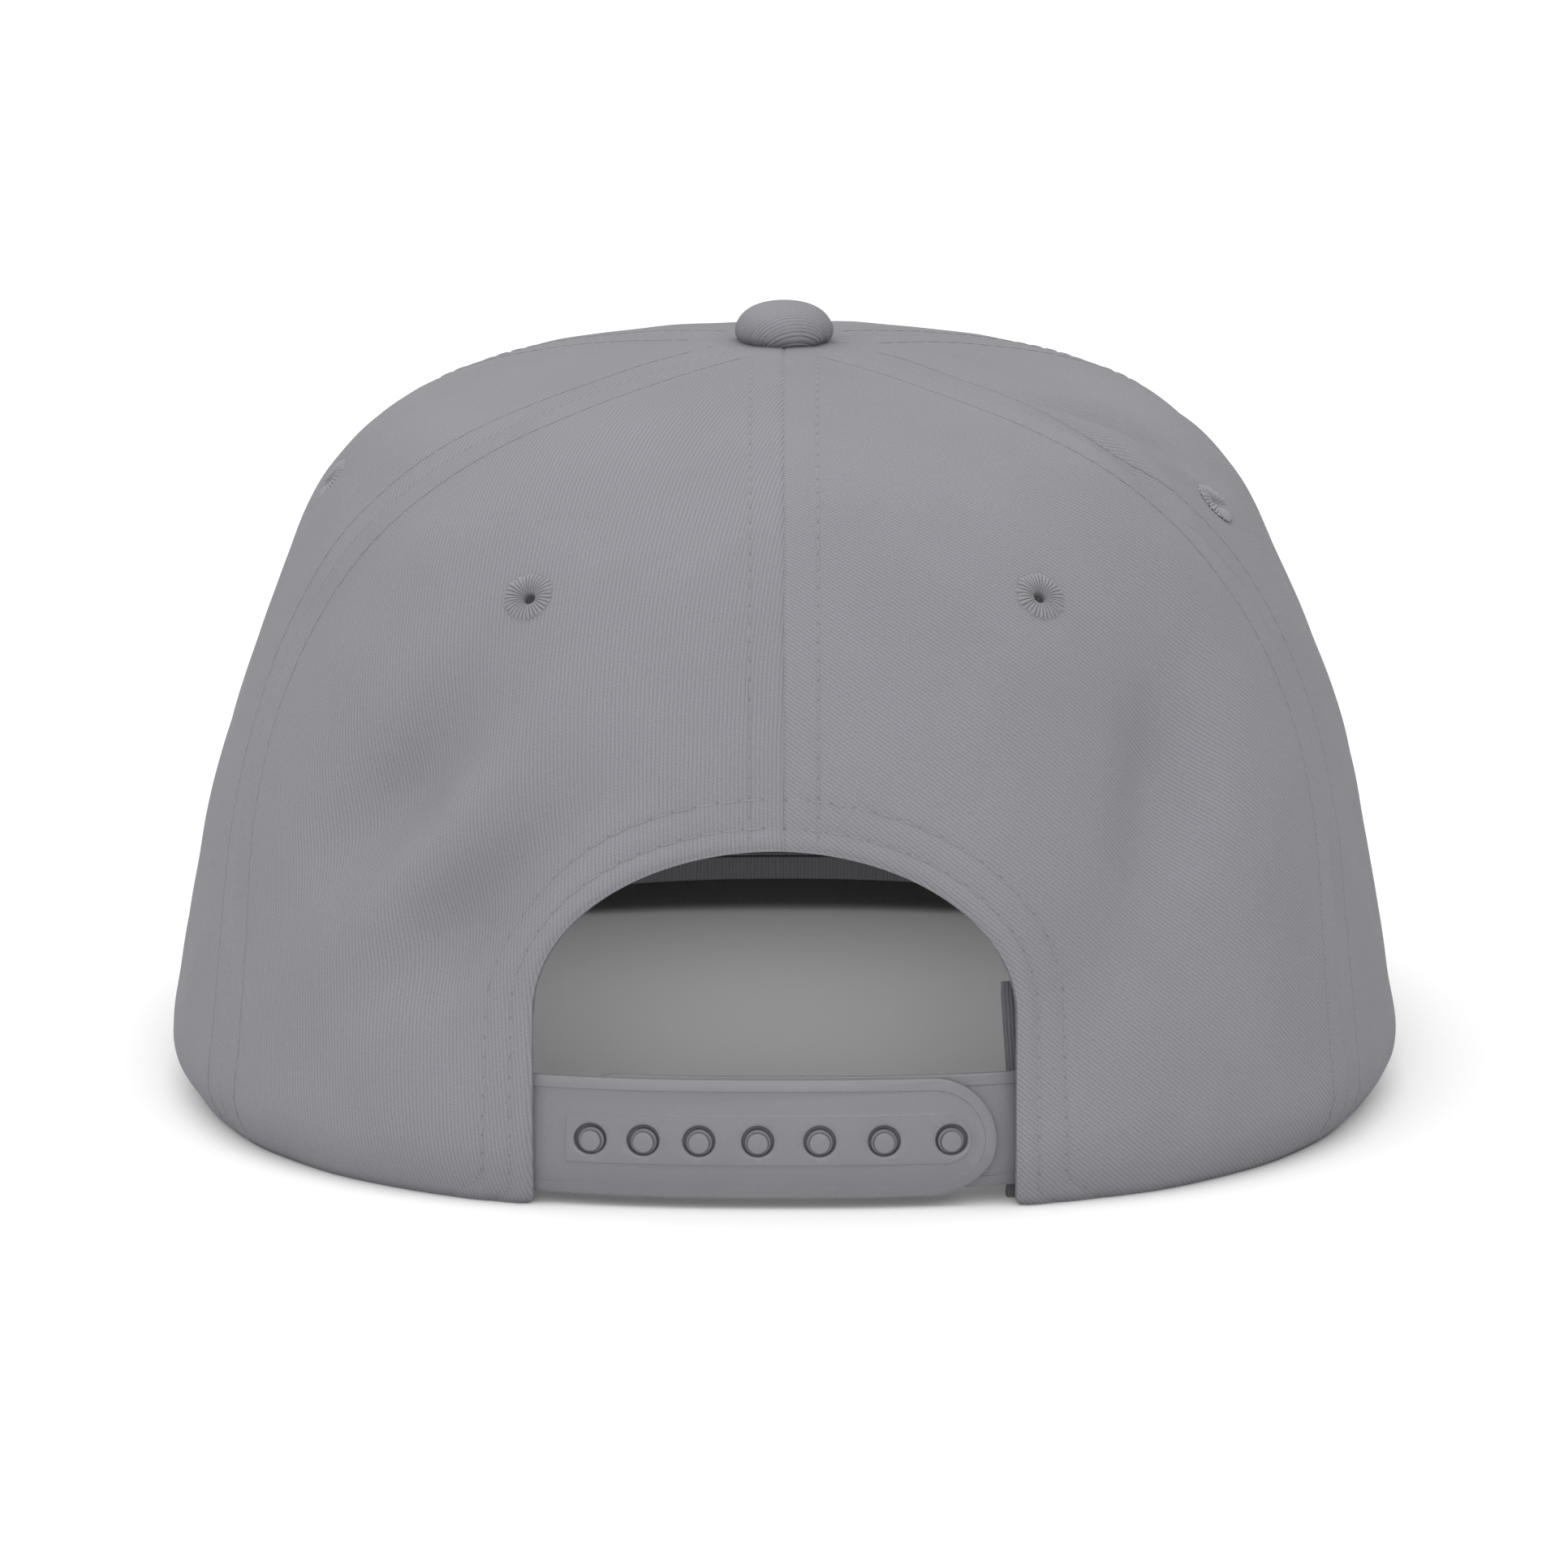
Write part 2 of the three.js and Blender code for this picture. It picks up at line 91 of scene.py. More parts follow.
FRONT_PROFILE = (
    {"reach": 1.0, "rise": 0.0},
    {"reach": 1.0, "rise": 0.07},
    {"reach": 1.0, "rise": 0.16},
    {"reach": 0.985, "rise": 0.3},
    {"reach": 0.965, "rise": 0.45},
    {"reach": 0.925, "rise": 0.6},
    {"reach": 0.85, "rise": 0.74},
    {"reach": 0.73, "rise": 0.85},
    {"reach": 0.54, "rise": 0.93},
    {"reach": 0.29, "rise": 0.982},
    {"reach": 0.0, "rise": 1.0},
)
CROWN_SQUARENESS = 2.5
PEAK_SQUARENESS = 2.7

# Dents and bulges of the cloth: where the middle lies, the half-size across and along the fold as
# shares of the crown's height, the lean of the fold from upright in degrees, and how deep it is as a
# share of the fold depth. A bulge has a negative depth.
FOLDS = (
    {"azimuth": -40, "level": 0.475, "across": 0.08, "along": 0.22, "lean": -38, "depth": 0.7},
    {"azimuth": -29, "level": 0.38, "across": 0.06, "along": 0.2, "lean": -52, "depth": 0.45},
    {"azimuth": -33, "level": 0.3, "across": 0.07, "along": 0.13, "lean": 10, "depth": 0.35},
    {"azimuth": 37, "level": 0.47, "across": 0.12, "along": 0.25, "lean": -6, "depth": 0.5},
    {"azimuth": 79, "level": 0.79, "across": 0.09, "along": 0.32, "lean": -62, "depth": 0.3},
    {"azimuth": 90, "level": 0.72, "across": 0.12, "along": 0.12, "lean": 0, "depth": -0.25},
    {"azimuth": 84, "level": 0.49, "across": 0.2, "along": 0.13, "lean": 0, "depth": -0.25},
    {"azimuth": -84, "level": 0.74, "across": 0.24, "along": 0.2, "lean": 0, "depth": -0.45},
    {"azimuth": -150, "level": 0.4, "across": 0.16, "along": 0.28, "lean": 12, "depth": 0.3},
    {"azimuth": 146, "level": 0.42, "across": 0.14, "along": 0.26, "lean": -10, "depth": 0.3},
)
# Narrow creases inside the larger folds, in the same terms: two over the right shoulder, two down the
# left of the back, one on its right, and a soft hollow on each side of the opening
CREASES = (
    {"azimuth": 67.5, "level": 0.812, "across": 0.036, "along": 0.14, "lean": 58, "depth": 0.45},
    {"azimuth": 57.5, "level": 0.764, "across": 0.036, "along": 0.08, "lean": 11, "depth": 0.45},
    {"azimuth": -39.5, "level": 0.47, "across": 0.06, "along": 0.15, "lean": -54, "depth": 0.6},
    {"azimuth": -29.6, "level": 0.37, "across": 0.055, "along": 0.16, "lean": -58, "depth": 0.5},
    {"azimuth": 40.5, "level": 0.47, "across": 0.08, "along": 0.17, "lean": -31, "depth": 0.85},
    {"azimuth": 26, "level": 0.26, "across": 0.08, "along": 0.11, "lean": 0, "depth": 0.35},
    {"azimuth": -28, "level": 0.29, "across": 0.08, "along": 0.11, "lean": 0, "depth": 0.25},
)
SQUARE_FOOT_SHARE = 0.05
PLAIN_FOOT_SHARE = 0.12
CLIMB_SHARE = 1.25

# Relief of sewn edges, in millimetres: distance from the edge, half-width and rise of each ridge
SEAM_RELIEF = (
    {"at": 0.0, "half": 0.25, "rise": -0.22},
    {"at": 2.6, "half": 1.9, "rise": 0.1},
    {"at": 5.0, "half": 0.4, "rise": -0.06},
)
# Share by which the side seams are flatter than the centre seam
SIDE_SEAM_EASE = 0.6
HEM_RELIEF = (
    {"at": 0.0, "half": 0.6, "rise": -0.55},
    {"at": 1.8, "half": 0.9, "rise": 0.14},
    {"at": 3.3, "half": 0.4, "rise": -0.12},
    {"at": 5.4, "half": 1.4, "rise": 0.12},
    {"at": 7.5, "half": 0.45, "rise": -0.12},
)
RIM_RELIEF = (
    {"at": 0.0, "half": 0.7, "rise": -0.5},
    {"at": 1.8, "half": 1.1, "rise": 0.1},
)

# Turn of the side seams from their plain azimuth, in degrees, a row for each level from rim to top
SEAM_BEND = (
    {"turn": -3.0},
    {"turn": -3.0},
    {"turn": -2.6},
    {"turn": -0.8},
    {"turn": 2.0},
    {"turn": 3.8},
    {"turn": 2.2},
    {"turn": -2.2},
    {"turn": -8.5},
    {"turn": -14.0},
    {"turn": -16.0},
)

# Gores of the crown: the seams on their two sides, counted round from the middle of the back, and the
# lean of the twill's ribs from the gore's middle line in degrees
PANELS = (
    {"name": "back_left", "from": -1, "to": 0, "lean": 10},
    {"name": "back_right", "from": 0, "to": 1, "lean": 48},
    {"name": "side_left", "from": -2, "to": -1, "lean": 48},
    {"name": "side_right", "from": 1, "to": 2, "lean": 10},
    {"name": "front_left", "from": -3, "to": -2, "lean": 10},
    {"name": "front_right", "from": 2, "to": 3, "lean": 48},
)
EYELETS = (
    {"name": "back_left", "azimuth": -30.5, "level": 0.65},
    {"name": "back_right", "azimuth": 30.5, "level": 0.65},
    {"name": "side_left", "azimuth": -80, "level": 0.7},
    {"name": "side_right", "azimuth": 72, "level": 0.7},
    {"name": "front_left", "azimuth": -150, "level": 0.68},
    {"name": "front_right", "azimuth": 150, "level": 0.68},
)


def linear(code):
    """Linear colour of an sRGB hex value."""
    parts = [int(code[i:i + 2], 16) / 255 for i in (1, 3, 5)]
    return [c / 12.92 if c <= 0.04045 else ((c + 0.055) / 1.055) ** 2.4 for c in parts]


def length(name, description, millimetres):
    """Property for a length, given in millimetres."""
    return FloatProperty(name=name, description=description, default=millimetres * MM, unit="LENGTH")


def turn(name, description, degrees):
    """Property for an angle, given in degrees."""
    return FloatProperty(name=name, description=description, default=math.radians(degrees), unit="ROTATION")


def tint(name, description, code):
    """Property for a colour, given as an sRGB hex value."""
    return FloatVectorProperty(name=name, description=description, default=linear(code), subtype="COLOR",
                               size=3, min=0.0, max=1.0)


class CapSizes(bpy.types.PropertyGroup):
    """Sizes of the cap."""
    crown_width: length("Crown width", "Widest span of the crown from side to side", 186.4)
    crown_back: length("Crown back reach", "From the middle of the crown to its back", 95)
    crown_front: length("Crown front reach", "From the middle of the crown to its front", 98)
    crown_height: length("Crown height", "From the floor to the top of the crown", 113.3)
    cloth_wall: length("Cloth wall", "Thickness of the crown's cloth with its backing", 1.6)
    piece_gap: length("Piece gap", "Clearance between neighbouring pieces", 0.3)
    fold_depth: length("Fold depth", "Depth of a full fold in the cloth", 5)
    side_seam: turn("Side seam", "Azimuth of the seam between back and side panels", 61)
    front_seam: turn("Front seam", "Azimuth of the seam between side and front panels", 120)
    arch_half_width: length("Arch half-width", "Half the span of the opening in the back", 35.5)
    arch_spring: length("Arch spring", "Height at which the opening's straight sides end", 28)
    arch_top: length("Arch top", "Height of the opening", 52.4)
    arch_shift: length("Arch shift", "Sideways place of the opening's middle", -1.4)
    button_radius: length("Button radius", "Half the width of the button on top", 7.5)
    button_height: length("Button height", "Height of the button's cover from its tucked edge", 6.5)
    eyelet_radius: length("Eyelet radius", "Outer radius of a sewn eyelet", 3.65)
    eyelet_hole: length("Eyelet hole", "Radius of the hole in a sewn eyelet", 0.85)
    peak_length: length("Peak length", "How far the peak reaches past the crown", 68)
    peak_width: length("Peak width", "Span of the peak", 180)
    peak_thickness: length("Peak thickness", "Thickness of the covered peak board", 3.6)
    peak_camber: length("Peak camber", "Rise of the peak's middle over its corners", 6)
    band_height: length("Sweatband height", "Height of the band inside the rim", 33)
    band_wall: length("Sweatband wall", "Thickness of the band inside the rim", 1.4)
    strap_height: length("Strap height", "Height of the snap strap", 18.3)
    strap_foot: length("Strap foot", "Height of the strap's lower edge over the floor", 1.4)
    strap_wall: length("Strap wall", "Thickness of each half of the snap strap", 1.2)
    strap_sewn: length("Strap sewn length", "How far each strap runs behind the cloth", 20)
    hole_radius: length("Hole radius", "Radius of the holes in the snap strap", 2.35)
    peg_radius: length("Peg radius", "Radius of the pegs of the snap strap", 1.5)
    seam_row: length("Seam row", "Distance from a seam to its row of stitches", 5)
    hem_row_low: length("Inner hem row", "Distance from the opening's edge to its first row of stitches", 3.3)
    hem_row_high: length("Outer hem row", "Distance from the opening's edge to its second row of stitches",
                         7.5)
    stitch_pitch: length("Stitch pitch", "Distance from one stitch to the next", 2.9)
    stitch_length: length("Stitch length", "Visible length of one stitch", 2.5)
    stitch_radius: length("Stitch radius", "Radius of the sewing thread", 0.14)
    rib_pitch: length("Rib pitch", "Distance between the twill's ribs", 0.6)
    yarn_pitch: length("Yarn pitch", "Distance between the yarns along a rib", 0.52)
    hole_count: IntProperty(name="Hole count", description="Holes in the snap strap", default=7, min=1)


class CapColours(bpy.types.PropertyGroup):
    """Colours of the cap and of the floor."""
    cloth: tint("Cloth", "Grey cotton twill of the crown and peak", "#78777C")
    thread: tint("Thread", "Sewing and eyelet thread", "#78777C")
    band: tint("Sweatband", "Twill of the sweatband", "#646368")
    plastic: tint("Strap", "Moulded snap strap", "#6D6C71")
    floor: tint("Floor", "Matt paper under the cap", "#E6E6E6")


def sizes():
    return bpy.context.scene.cap_sizes


def colours():
    return bpy.context.scene.cap_colours


# Curves and surfaces
def spline(profile, level):
    """Smooth curve through the rows of a profile, spaced evenly in level, for each of its columns."""
    points = np.array([list(row.values()) for row in profile], float)
    last = len(points) - 1
    place = np.clip(level, 0, 1) * last
    start = np.minimum(place.astype(int), last - 1)
    share = (place - start)[..., None]
    before, here = points[np.maximum(start - 1, 0)], points[start]
    after, beyond = points[start + 1], points[np.minimum(start + 2, last)]
    slope_in, slope_out = (after - before) / 2, (beyond - here) / 2
    cube = 2 * here - 2 * after + slope_in + slope_out
    square = -3 * here + 3 * after - 2 * slope_in - slope_out
    return ((cube * share + square) * share + slope_in) * share + here


def smooth(value, low, high):
    share = np.clip((value - low) / (high - low), 0, 1)
    return share * share * (3 - 2 * share)


def unit(vectors):
    return vectors / np.linalg.norm(vectors, axis=-1, keepdims=True)


def relief(rows, away):
    """Rise of a sewn edge at a distance from it, in metres."""
    return sum(row["rise"] * MM * np.exp(-((away / MM - row["at"]) / row["half"]) ** 2) for row in rows)


def run_lengths(points, axis=0):
    """Length along a line of points up to each of them."""
    steps = np.linalg.norm(np.diff(points, axis=axis), axis=-1)
    start = np.zeros_like(np.take(steps, [0], axis=axis))
    return np.concatenate((start, np.cumsum(steps, axis=axis)), axis=axis)


def spaced(total, near_start, near_end, step):
    """Shares from 0 to 1 along a length: close rows near both ends, at the given distances, and even
    steps between them."""
    middle = total - near_start[-1] - near_end[-1]
    count = max(1, round(middle / step))
    between = near_start[-1] + middle * np.arange(1, count) / count
    places = np.concatenate((near_start, between, total - np.array(near_end[::-1])))
    return places / total


class Crown:
    """Outer face of the crown. An azimuth of 0 is the middle of the back and 90 the right side, in
    degrees. A level of 0 is the rim and 1 the top."""

    def __init__(self):
        s = sizes()
        self.half_width = s.crown_width / 2
        self.back = s.crown_back
        self.front = s.crown_front
        self.height = s.crown_height
        self.fold_depth = s.fold_depth
        self.over_peak = s.peak_thickness + 2 * s.piece_gap
        self.peak_half_width = s.peak_width / 2
        self.camber = s.peak_camber

    def rim(self, azimuth, x):
        """Height of the rim, which rises over the peak at the front."""
        turned = abs((azimuth + 180) % 360 - 180)
        top = self.over_peak + self.camber * np.maximum(0, 1 - (x / self.peak_half_width) ** 2)
        return smooth(turned, 91, 113) * top

    def outline(self, azimuth, level):
        azimuth, level = np.broadcast_arrays(np.asarray(azimuth, float), np.asarray(level, float))
        angle = np.radians(azimuth)
        sine, cosine = np.sin(angle), np.cos(angle)
        side = spline(SIDE_PROFILE, level)
        at_back = cosine > 0
        end = np.where(at_back[..., None], spline(BACK_PROFILE, level), spline(FRONT_PROFILE, level))
        section = end + (side - end) * (sine * sine)[..., None]
        power = CROWN_SQUARENESS
        plan = (abs(sine) ** power + abs(cosine) ** power) ** (-1 / power) * section[..., 0]
        depth = np.where(at_back, self.back, self.front)
        x = plan * sine * self.half_width
        foot = self.rim(azimuth, x) * (1 - section[..., 1]) ** 3
        return np.stack((x, CROWN_Y - plan * cosine * depth, foot + section[..., 1] * self.height), -1)

    def normal(self, azimuth, level):
        step = 0.01
        across = self.outline(azimuth + 1, level) - self.outline(azimuth - 1, level)
        low, high = np.maximum(0, level - step), np.minimum(1 - step / 2, level + step)
        facing = unit(np.cross(across, self.outline(azimuth, high) - self.outline(azimuth, low)))
        facing[..., 2] *= smooth(level, 0, SQUARE_FOOT_SHARE)
        return unit(facing)

    def fold(self, azimuth, level):
        girth = math.pi * (self.half_width + self.back) / 360
        depth = 0
        for row in FOLDS + CREASES:
            side = ((azimuth - row["azimuth"] + 180) % 360 - 180) * girth
            up = (level - row["level"]) * CLIMB_SHARE * self.height
            lean = math.radians(row["lean"])
            across = (side * math.cos(lean) + up * math.sin(lean)) / (row["across"] * self.height)
            along = (up * math.cos(lean) - side * math.sin(lean)) / (row["along"] * self.height)
            depth = depth + row["depth"] * self.fold_depth * np.exp(-across ** 2 - along ** 2)
        return depth * smooth(level, 0, PLAIN_FOOT_SHARE)

    def point(self, azimuth, level, rise=0.0):
        """Point at a rise over the cloth's outer face."""
        azimuth, level = np.broadcast_arrays(np.asarray(azimuth, float), np.asarray(level, float))
        out = rise - self.fold(azimuth, level)
        return self.outline(azimuth, level) + self.normal(azimuth, level) * np.asarray(out)[..., None]

    def find(self, x, height):
        """Azimuth and level on the back where the face has a sideways place and a height."""
        azimuth = np.degrees(np.arctan2(x, self.back))
        level = height / self.height * 0.9
        for _ in range(14):
            here = self.point(azimuth, level)
            aside = (self.point(azimuth + 0.2, level) - here) / 0.2
            above = (self.point(azimuth, level + 0.004) - here) / 0.004
            wide, tall = x - here[..., 0], height - here[..., 2]
            scale = aside[..., 0] * above[..., 2] - above[..., 0] * aside[..., 2]
            azimuth = azimuth + (wide * above[..., 2] - tall * above[..., 0]) / scale
            level = np.clip(level + (tall * aside[..., 0] - wide * aside[..., 2]) / scale, 0, 1)
        return azimuth, level

    def azimuth_at(self, x):
        """Azimuth at which the rim passes a sideways place on the back."""
        samples = np.linspace(-89, 89, 713)
        return np.interp(x, self.outline(samples, 0)[:, 0], samples)

    def level_at(self, height):
        """Level at which the side profile reaches a height."""
        samples = np.linspace(0, 1, 801)
        return np.interp(height / self.height, spline(SIDE_PROFILE, samples)[:, 1], samples)


# Points of a cloth map round the crown and up it, the column in its middle, and how many degrees it
# reaches past the panel's seams
MAP_COLUMNS = 141
MAP_ROWS = 161
MAP_MIDDLE = 70
MAP_MARGIN = 20


class ClothMap:
    """Flat measures on one panel: U runs round the crown from the panel's middle and V climbs from the
    rim, both in metres along the cloth."""

    def __init__(self, crown, start, stop):
        self.azimuths = np.linspace(start - MAP_MARGIN, stop + MAP_MARGIN, MAP_COLUMNS)
        grid = crown.outline(self.azimuths[:, None], np.linspace(0, 1, MAP_ROWS)[None, :])
        across = run_lengths(grid, 0)
        self.u = across - across[MAP_MIDDLE]
        self.v = run_lengths(grid, 1)

    def sample(self, table, azimuth, level):
        column = (azimuth - self.azimuths[0]) / (self.azimuths[1] - self.azimuths[0])
        column = np.clip(column, 0, MAP_COLUMNS - 1.001)
        row = np.clip(level, 0, 0.99999) * (MAP_ROWS - 1)
        i, j = column.astype(int), row.astype(int)
        a, b = column - i, row - j
        low = table[i, j] * (1 - a) + table[i + 1, j] * a
        high = table[i, j + 1] * (1 - a) + table[i + 1, j + 1] * a
        return low * (1 - b) + high * b

    def across(self, azimuth, level):
        return self.sample(self.u, azimuth, level)

    def climb(self, azimuth, level):
        return self.sample(self.v, azimuth, level)


def measure_line(points, line):
    """Distance of each point from a line of points, and how far along the line it lies."""
    runs = run_lengths(line)
    away = np.empty(len(points))
    along = np.empty(len(points))
    for first in range(0, len(points), 2000):
        part = points[first:first + 2000]
        gaps = np.linalg.norm(part[:, None] - line[None], axis=-1)
        nearest = np.clip(gaps.argmin(1), 1, len(line) - 2)
        tangent = unit(line[nearest + 1] - line[nearest - 1])
        offset = part - line[nearest]
        forward = (offset * tangent).sum(-1)
        away[first:first + 2000] = np.linalg.norm(offset - tangent * forward[:, None], axis=-1)
        along[first:first + 2000] = runs[nearest] + forward
    return away, along


# Slow waves of the cloth, in millimetres: their lengths across and up, and how high they rise
WAVES = (
    {"across": 41, "up": 57, "rise": 0.16},
    {"across": 23, "up": 31, "rise": 0.1},
    {"across": 13, "up": 17, "rise": 0.05},
)
# One whole wave as an angle, in radians
WHOLE_WAVE = 6.283


def unevenness(u, v, seed):
    """Slow waves of cloth that was cut and sewn by hand, in metres."""
    rise = 0
    for index, wave in enumerate(WAVES):
        phase = seed * 1.7 + index * 2.3
        across = np.sin(u / MM / wave["across"] * WHOLE_WAVE + phase)
        up = np.sin(v / MM / wave["up"] * WHOLE_WAVE + 1.9 * phase)
        rise = rise + wave["rise"] * MM * across * up
    return rise


# Rows of the grids near sewn edges, as distances from the edge in metres
NEAR_SEAM = np.array((0, 0.15, 0.35, 0.6, 0.95, 1.4, 2, 2.8, 3.7, 4.4, 4.8, 5.2, 5.7, 6.5, 7.5)) * MM
NEAR_HEM = np.array((0, 0.15, 0.35, 0.6, 0.9, 1.3, 1.8, 2.4, 2.9, 3.2, 3.5, 4, 4.8, 5.8, 6.6, 7.1, 7.4,
                     7.7, 8.2, 9)) * MM
NEAR_RIM = np.array((0, 0.2, 0.5, 0.9, 1.4, 2.1, 3)) * MM
GRID_STEP = 1.1 * MM

# About how wide and tall a back panel's grid is, and the height at which the first guess at a row of
# stitches beside the opening counts the grid's shares
BACK_GRID_WIDTH = 75 * MM
BACK_GRID_HEIGHT = 82 * MM
HEM_ROW_GUESS = 80 * MM
# Distance from the opening that stands for a panel without one
FAR_FROM_HEM = 99 * MM
# Azimuths between which the centre seam's relief eases to the side seams'
EASE_START = 20
EASE_END = 30
# How far from a seam the waves of the cloth grow to their full height
WAVE_FADE = 12 * MM
# Dimple that the stitches of an eyelet draw in the cloth: its depth and half-width, and the share of the
# eyelet's radius inside which the cloth is cut away
EYELET_DIMPLE = 0.35 * MM
EYELET_DIMPLE_HALF = 5.5 * MM
EYELET_CUT = 0.62


class Panel:
    """One gore of the crown with its seams, and for a back panel the hem round the opening."""

    def __init__(self, crown, row):
        s = sizes()
        seams = {0: 0.0, 1: math.degrees(s.side_seam), 2: math.degrees(s.front_seam), 3: 180.0}
        self.crown = crown
        self.name = row["name"]
        self.lean = math.radians(row["lean"])
        self.bends = (abs(row["from"]) == 1, abs(row["to"]) == 1)
        self.start = math.copysign(seams[abs(row["from"])], row["from"])
        self.stop = math.copysign(seams[abs(row["to"])], row["to"])
        self.map = ClothMap(crown, self.start, self.stop)
        self.seed = row["from"] + 4
        self.eyelet = next(e for e in EYELETS if self.start < e["azimuth"] < self.stop)
        self.eyelet_point = crown.point(self.eyelet["azimuth"], self.eyelet["level"])
        self.has_hem = 0 in (row["from"], row["to"])
        self.side = 1 if row["to"] > 0 else -1
        if self.has_hem:
            self.hem = self.hem_edge()
            self.hem_line = crown.point(*self.hem)

    def seams_at(self, level):
        """Azimuths of the panel's two seams at a level."""
        level = np.asarray(level, float)
        bend = self.side * spline(SEAM_BEND, level)[..., 0]
        return self.start + bend * self.bends[0], self.stop + bend * self.bends[1]

    def hem_edge(self):
        """Azimuths and levels along the opening's edge, from the centre seam to the rim."""
        s = sizes()
        corner = 1.2 * MM
        edge = s.arch_shift + self.side * s.arch_half_width
        first = math.acos(-self.side * s.arch_shift / s.arch_half_width)
        angle = np.linspace(first, 0, 160)
        down = np.linspace(1, 0, 80)[1:] * s.arch_spring
        x = np.concatenate((s.arch_shift + self.side * s.arch_half_width * np.cos(angle), edge + 0 * down))
        z = np.concatenate((s.arch_spring + (s.arch_top - s.arch_spring) * np.sin(angle), down))
        low = np.clip(1 - z / corner, 0, 1)
        x = x + self.side * corner * (1 - np.sqrt(1 - low * low)) * 0.8
        azimuth, level = self.crown.find(x, z)
        azimuth[0] = 0.0
        return azimuth, level

    def shares(self):
        """Columns and rows of the panel's grid."""
        if self.has_hem:
            columns = spaced(BACK_GRID_WIDTH, NEAR_SEAM, NEAR_RIM, GRID_STEP)
            rows = spaced(BACK_GRID_HEIGHT, NEAR_HEM, NEAR_SEAM, GRID_STEP)
            return columns, rows
        ends = self.map.across(np.array((self.start, self.stop)), np.array((0.1, 0.1)))
        columns = spaced(ends[1] - ends[0], NEAR_SEAM, NEAR_SEAM, GRID_STEP)
        rows = spaced(self.map.v[MAP_MIDDLE, -1], NEAR_RIM, (0, 1 * MM), GRID_STEP)
        return columns, rows

    def spot(self, across, up):
        """Azimuth and level at shares of the panel's grid."""
        if not self.has_hem:
            level = up * 0.996
            start, stop = self.seams_at(level)
            return start + across * (stop - start), level
        flat = self.patch(across, up)
        level = 1 - np.hypot(flat[..., 0], flat[..., 1])
        azimuth = np.degrees(np.arctan2(flat[..., 0], flat[..., 1]))
        return azimuth, np.clip(level, 0, 1)

    def patch(self, along, out):
        """Even spread between the hem, the rim, the side seam and the centre seam, on a plane where
        the crown's top is the origin and the distance from it falls with the level."""
        if not hasattr(self, "edges"):
            self.edges = self.patch_edges()
        hem, seam, centre, rim = self.edges
        def at(edge, share):
            places = np.linspace(0, 1, len(edge))
            return np.stack([np.interp(share, places, edge[:, k]) for k in (0, 1)], -1)
        s, t = along[..., None], out[..., None]
        leaning = along + 0.12 * np.sin(math.pi * along)
        sides = (1 - t) * at(hem, along) + t * at(seam, leaning)
        ends = (1 - s) * at(centre, out) + s * at(rim, out)
        corners = (1 - s) * ((1 - t) * hem[0] + t * seam[0]) + s * ((1 - t) * hem[-1] + t * seam[-1])
        return sides + ends - corners

    def patch_edges(self):
        """The four edges of a back panel, each as points at even lengths along the cloth."""
        climb = np.linspace(0, 1, 200)
        outer = self.seams_at(1 - climb)[1 if self.side > 0 else 0]
        azimuth, level = self.hem
        courses = (
            (azimuth, level),
            (outer, 1 - climb),
            (0 * climb, level[0] + climb * (1 - level[0])),
            (azimuth[-1] + climb * (outer[-1] - azimuth[-1]), 0 * climb),
        )
        edges = []
        for turned, height in courses:
            runs = run_lengths(self.crown.outline(turned, height))
            even = np.linspace(0, runs[-1], 400)
            turned, height = np.interp(even, runs, turned), np.interp(even, runs, height)
            angle = np.radians(turned)
            edges.append(np.stack(((1 - height) * np.sin(angle), (1 - height) * np.cos(angle)), -1))
        return edges

    def measures(self, azimuth, level):
        """Cloth map, seam map and hem map at places on the panel, all in metres."""
        u = self.map.across(azimuth, level)
        v = self.map.climb(azimuth, level)
        start, stop = self.seams_at(level)
        away = np.minimum(u - self.map.across(start, level), self.map.across(stop, level) - u)
        if self.has_hem:
            points = self.crown.point(azimuth, level)
            hem_away, hem_along = measure_line(points.reshape(-1, 3), self.hem_line)
            return u, v, away, hem_away.reshape(u.shape), hem_along.reshape(u.shape)
        far = np.full_like(u, FAR_FROM_HEM)
        return u, v, away, far, far

    def rise(self, azimuth, level):
        """Rise of the dressed cloth over the crown's plain face."""
        u, v, away, hem_away, _ = self.measures(azimuth, level)
        at_side = smooth(abs(azimuth), EASE_START, EASE_END)
        total = relief(SEAM_RELIEF, away) * (1 - SIDE_SEAM_EASE * at_side)
        total = total + relief(HEM_RELIEF, hem_away) + relief(RIM_RELIEF, v)
        total = total + unevenness(u, v, self.seed) * smooth(away, 0, WAVE_FADE)
        gap = np.linalg.norm(self.crown.point(azimuth, level) - self.eyelet_point, axis=-1)
        return total - EYELET_DIMPLE * np.exp(-(gap / EYELET_DIMPLE_HALF) ** 2)

    def surface(self, azimuth, level):
        return self.crown.point(azimuth, level, self.rise(azimuth, level))


# Meshes
def finish_piece(name, form, finish, nodes=(), maps=None, sharp=50):
    """Makes an object of a bmesh, with its UV maps, material and place in the frame."""
    mesh = bpy.data.meshes.new(name)
    form.to_mesh(mesh)
    form.free()
    corners = np.empty(len(mesh.loops), np.int32)
    mesh.loops.foreach_get("vertex_index", corners)
    for label, values in (maps or {}).items():
        layer = mesh.uv_layers.new(name=label)
        layer.data.foreach_set("uv", values[corners].astype(np.float32).ravel())
    mesh.shade_smooth()
    mesh.set_sharp_from_angle(angle=math.radians(sharp))
    mesh.materials.append(material(finish))
    piece = bpy.data.objects.new(name, mesh)
    bpy.context.scene.collection.objects.link(piece)
    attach(piece, "root")
    if nodes:
        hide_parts(*nodes)
    return piece


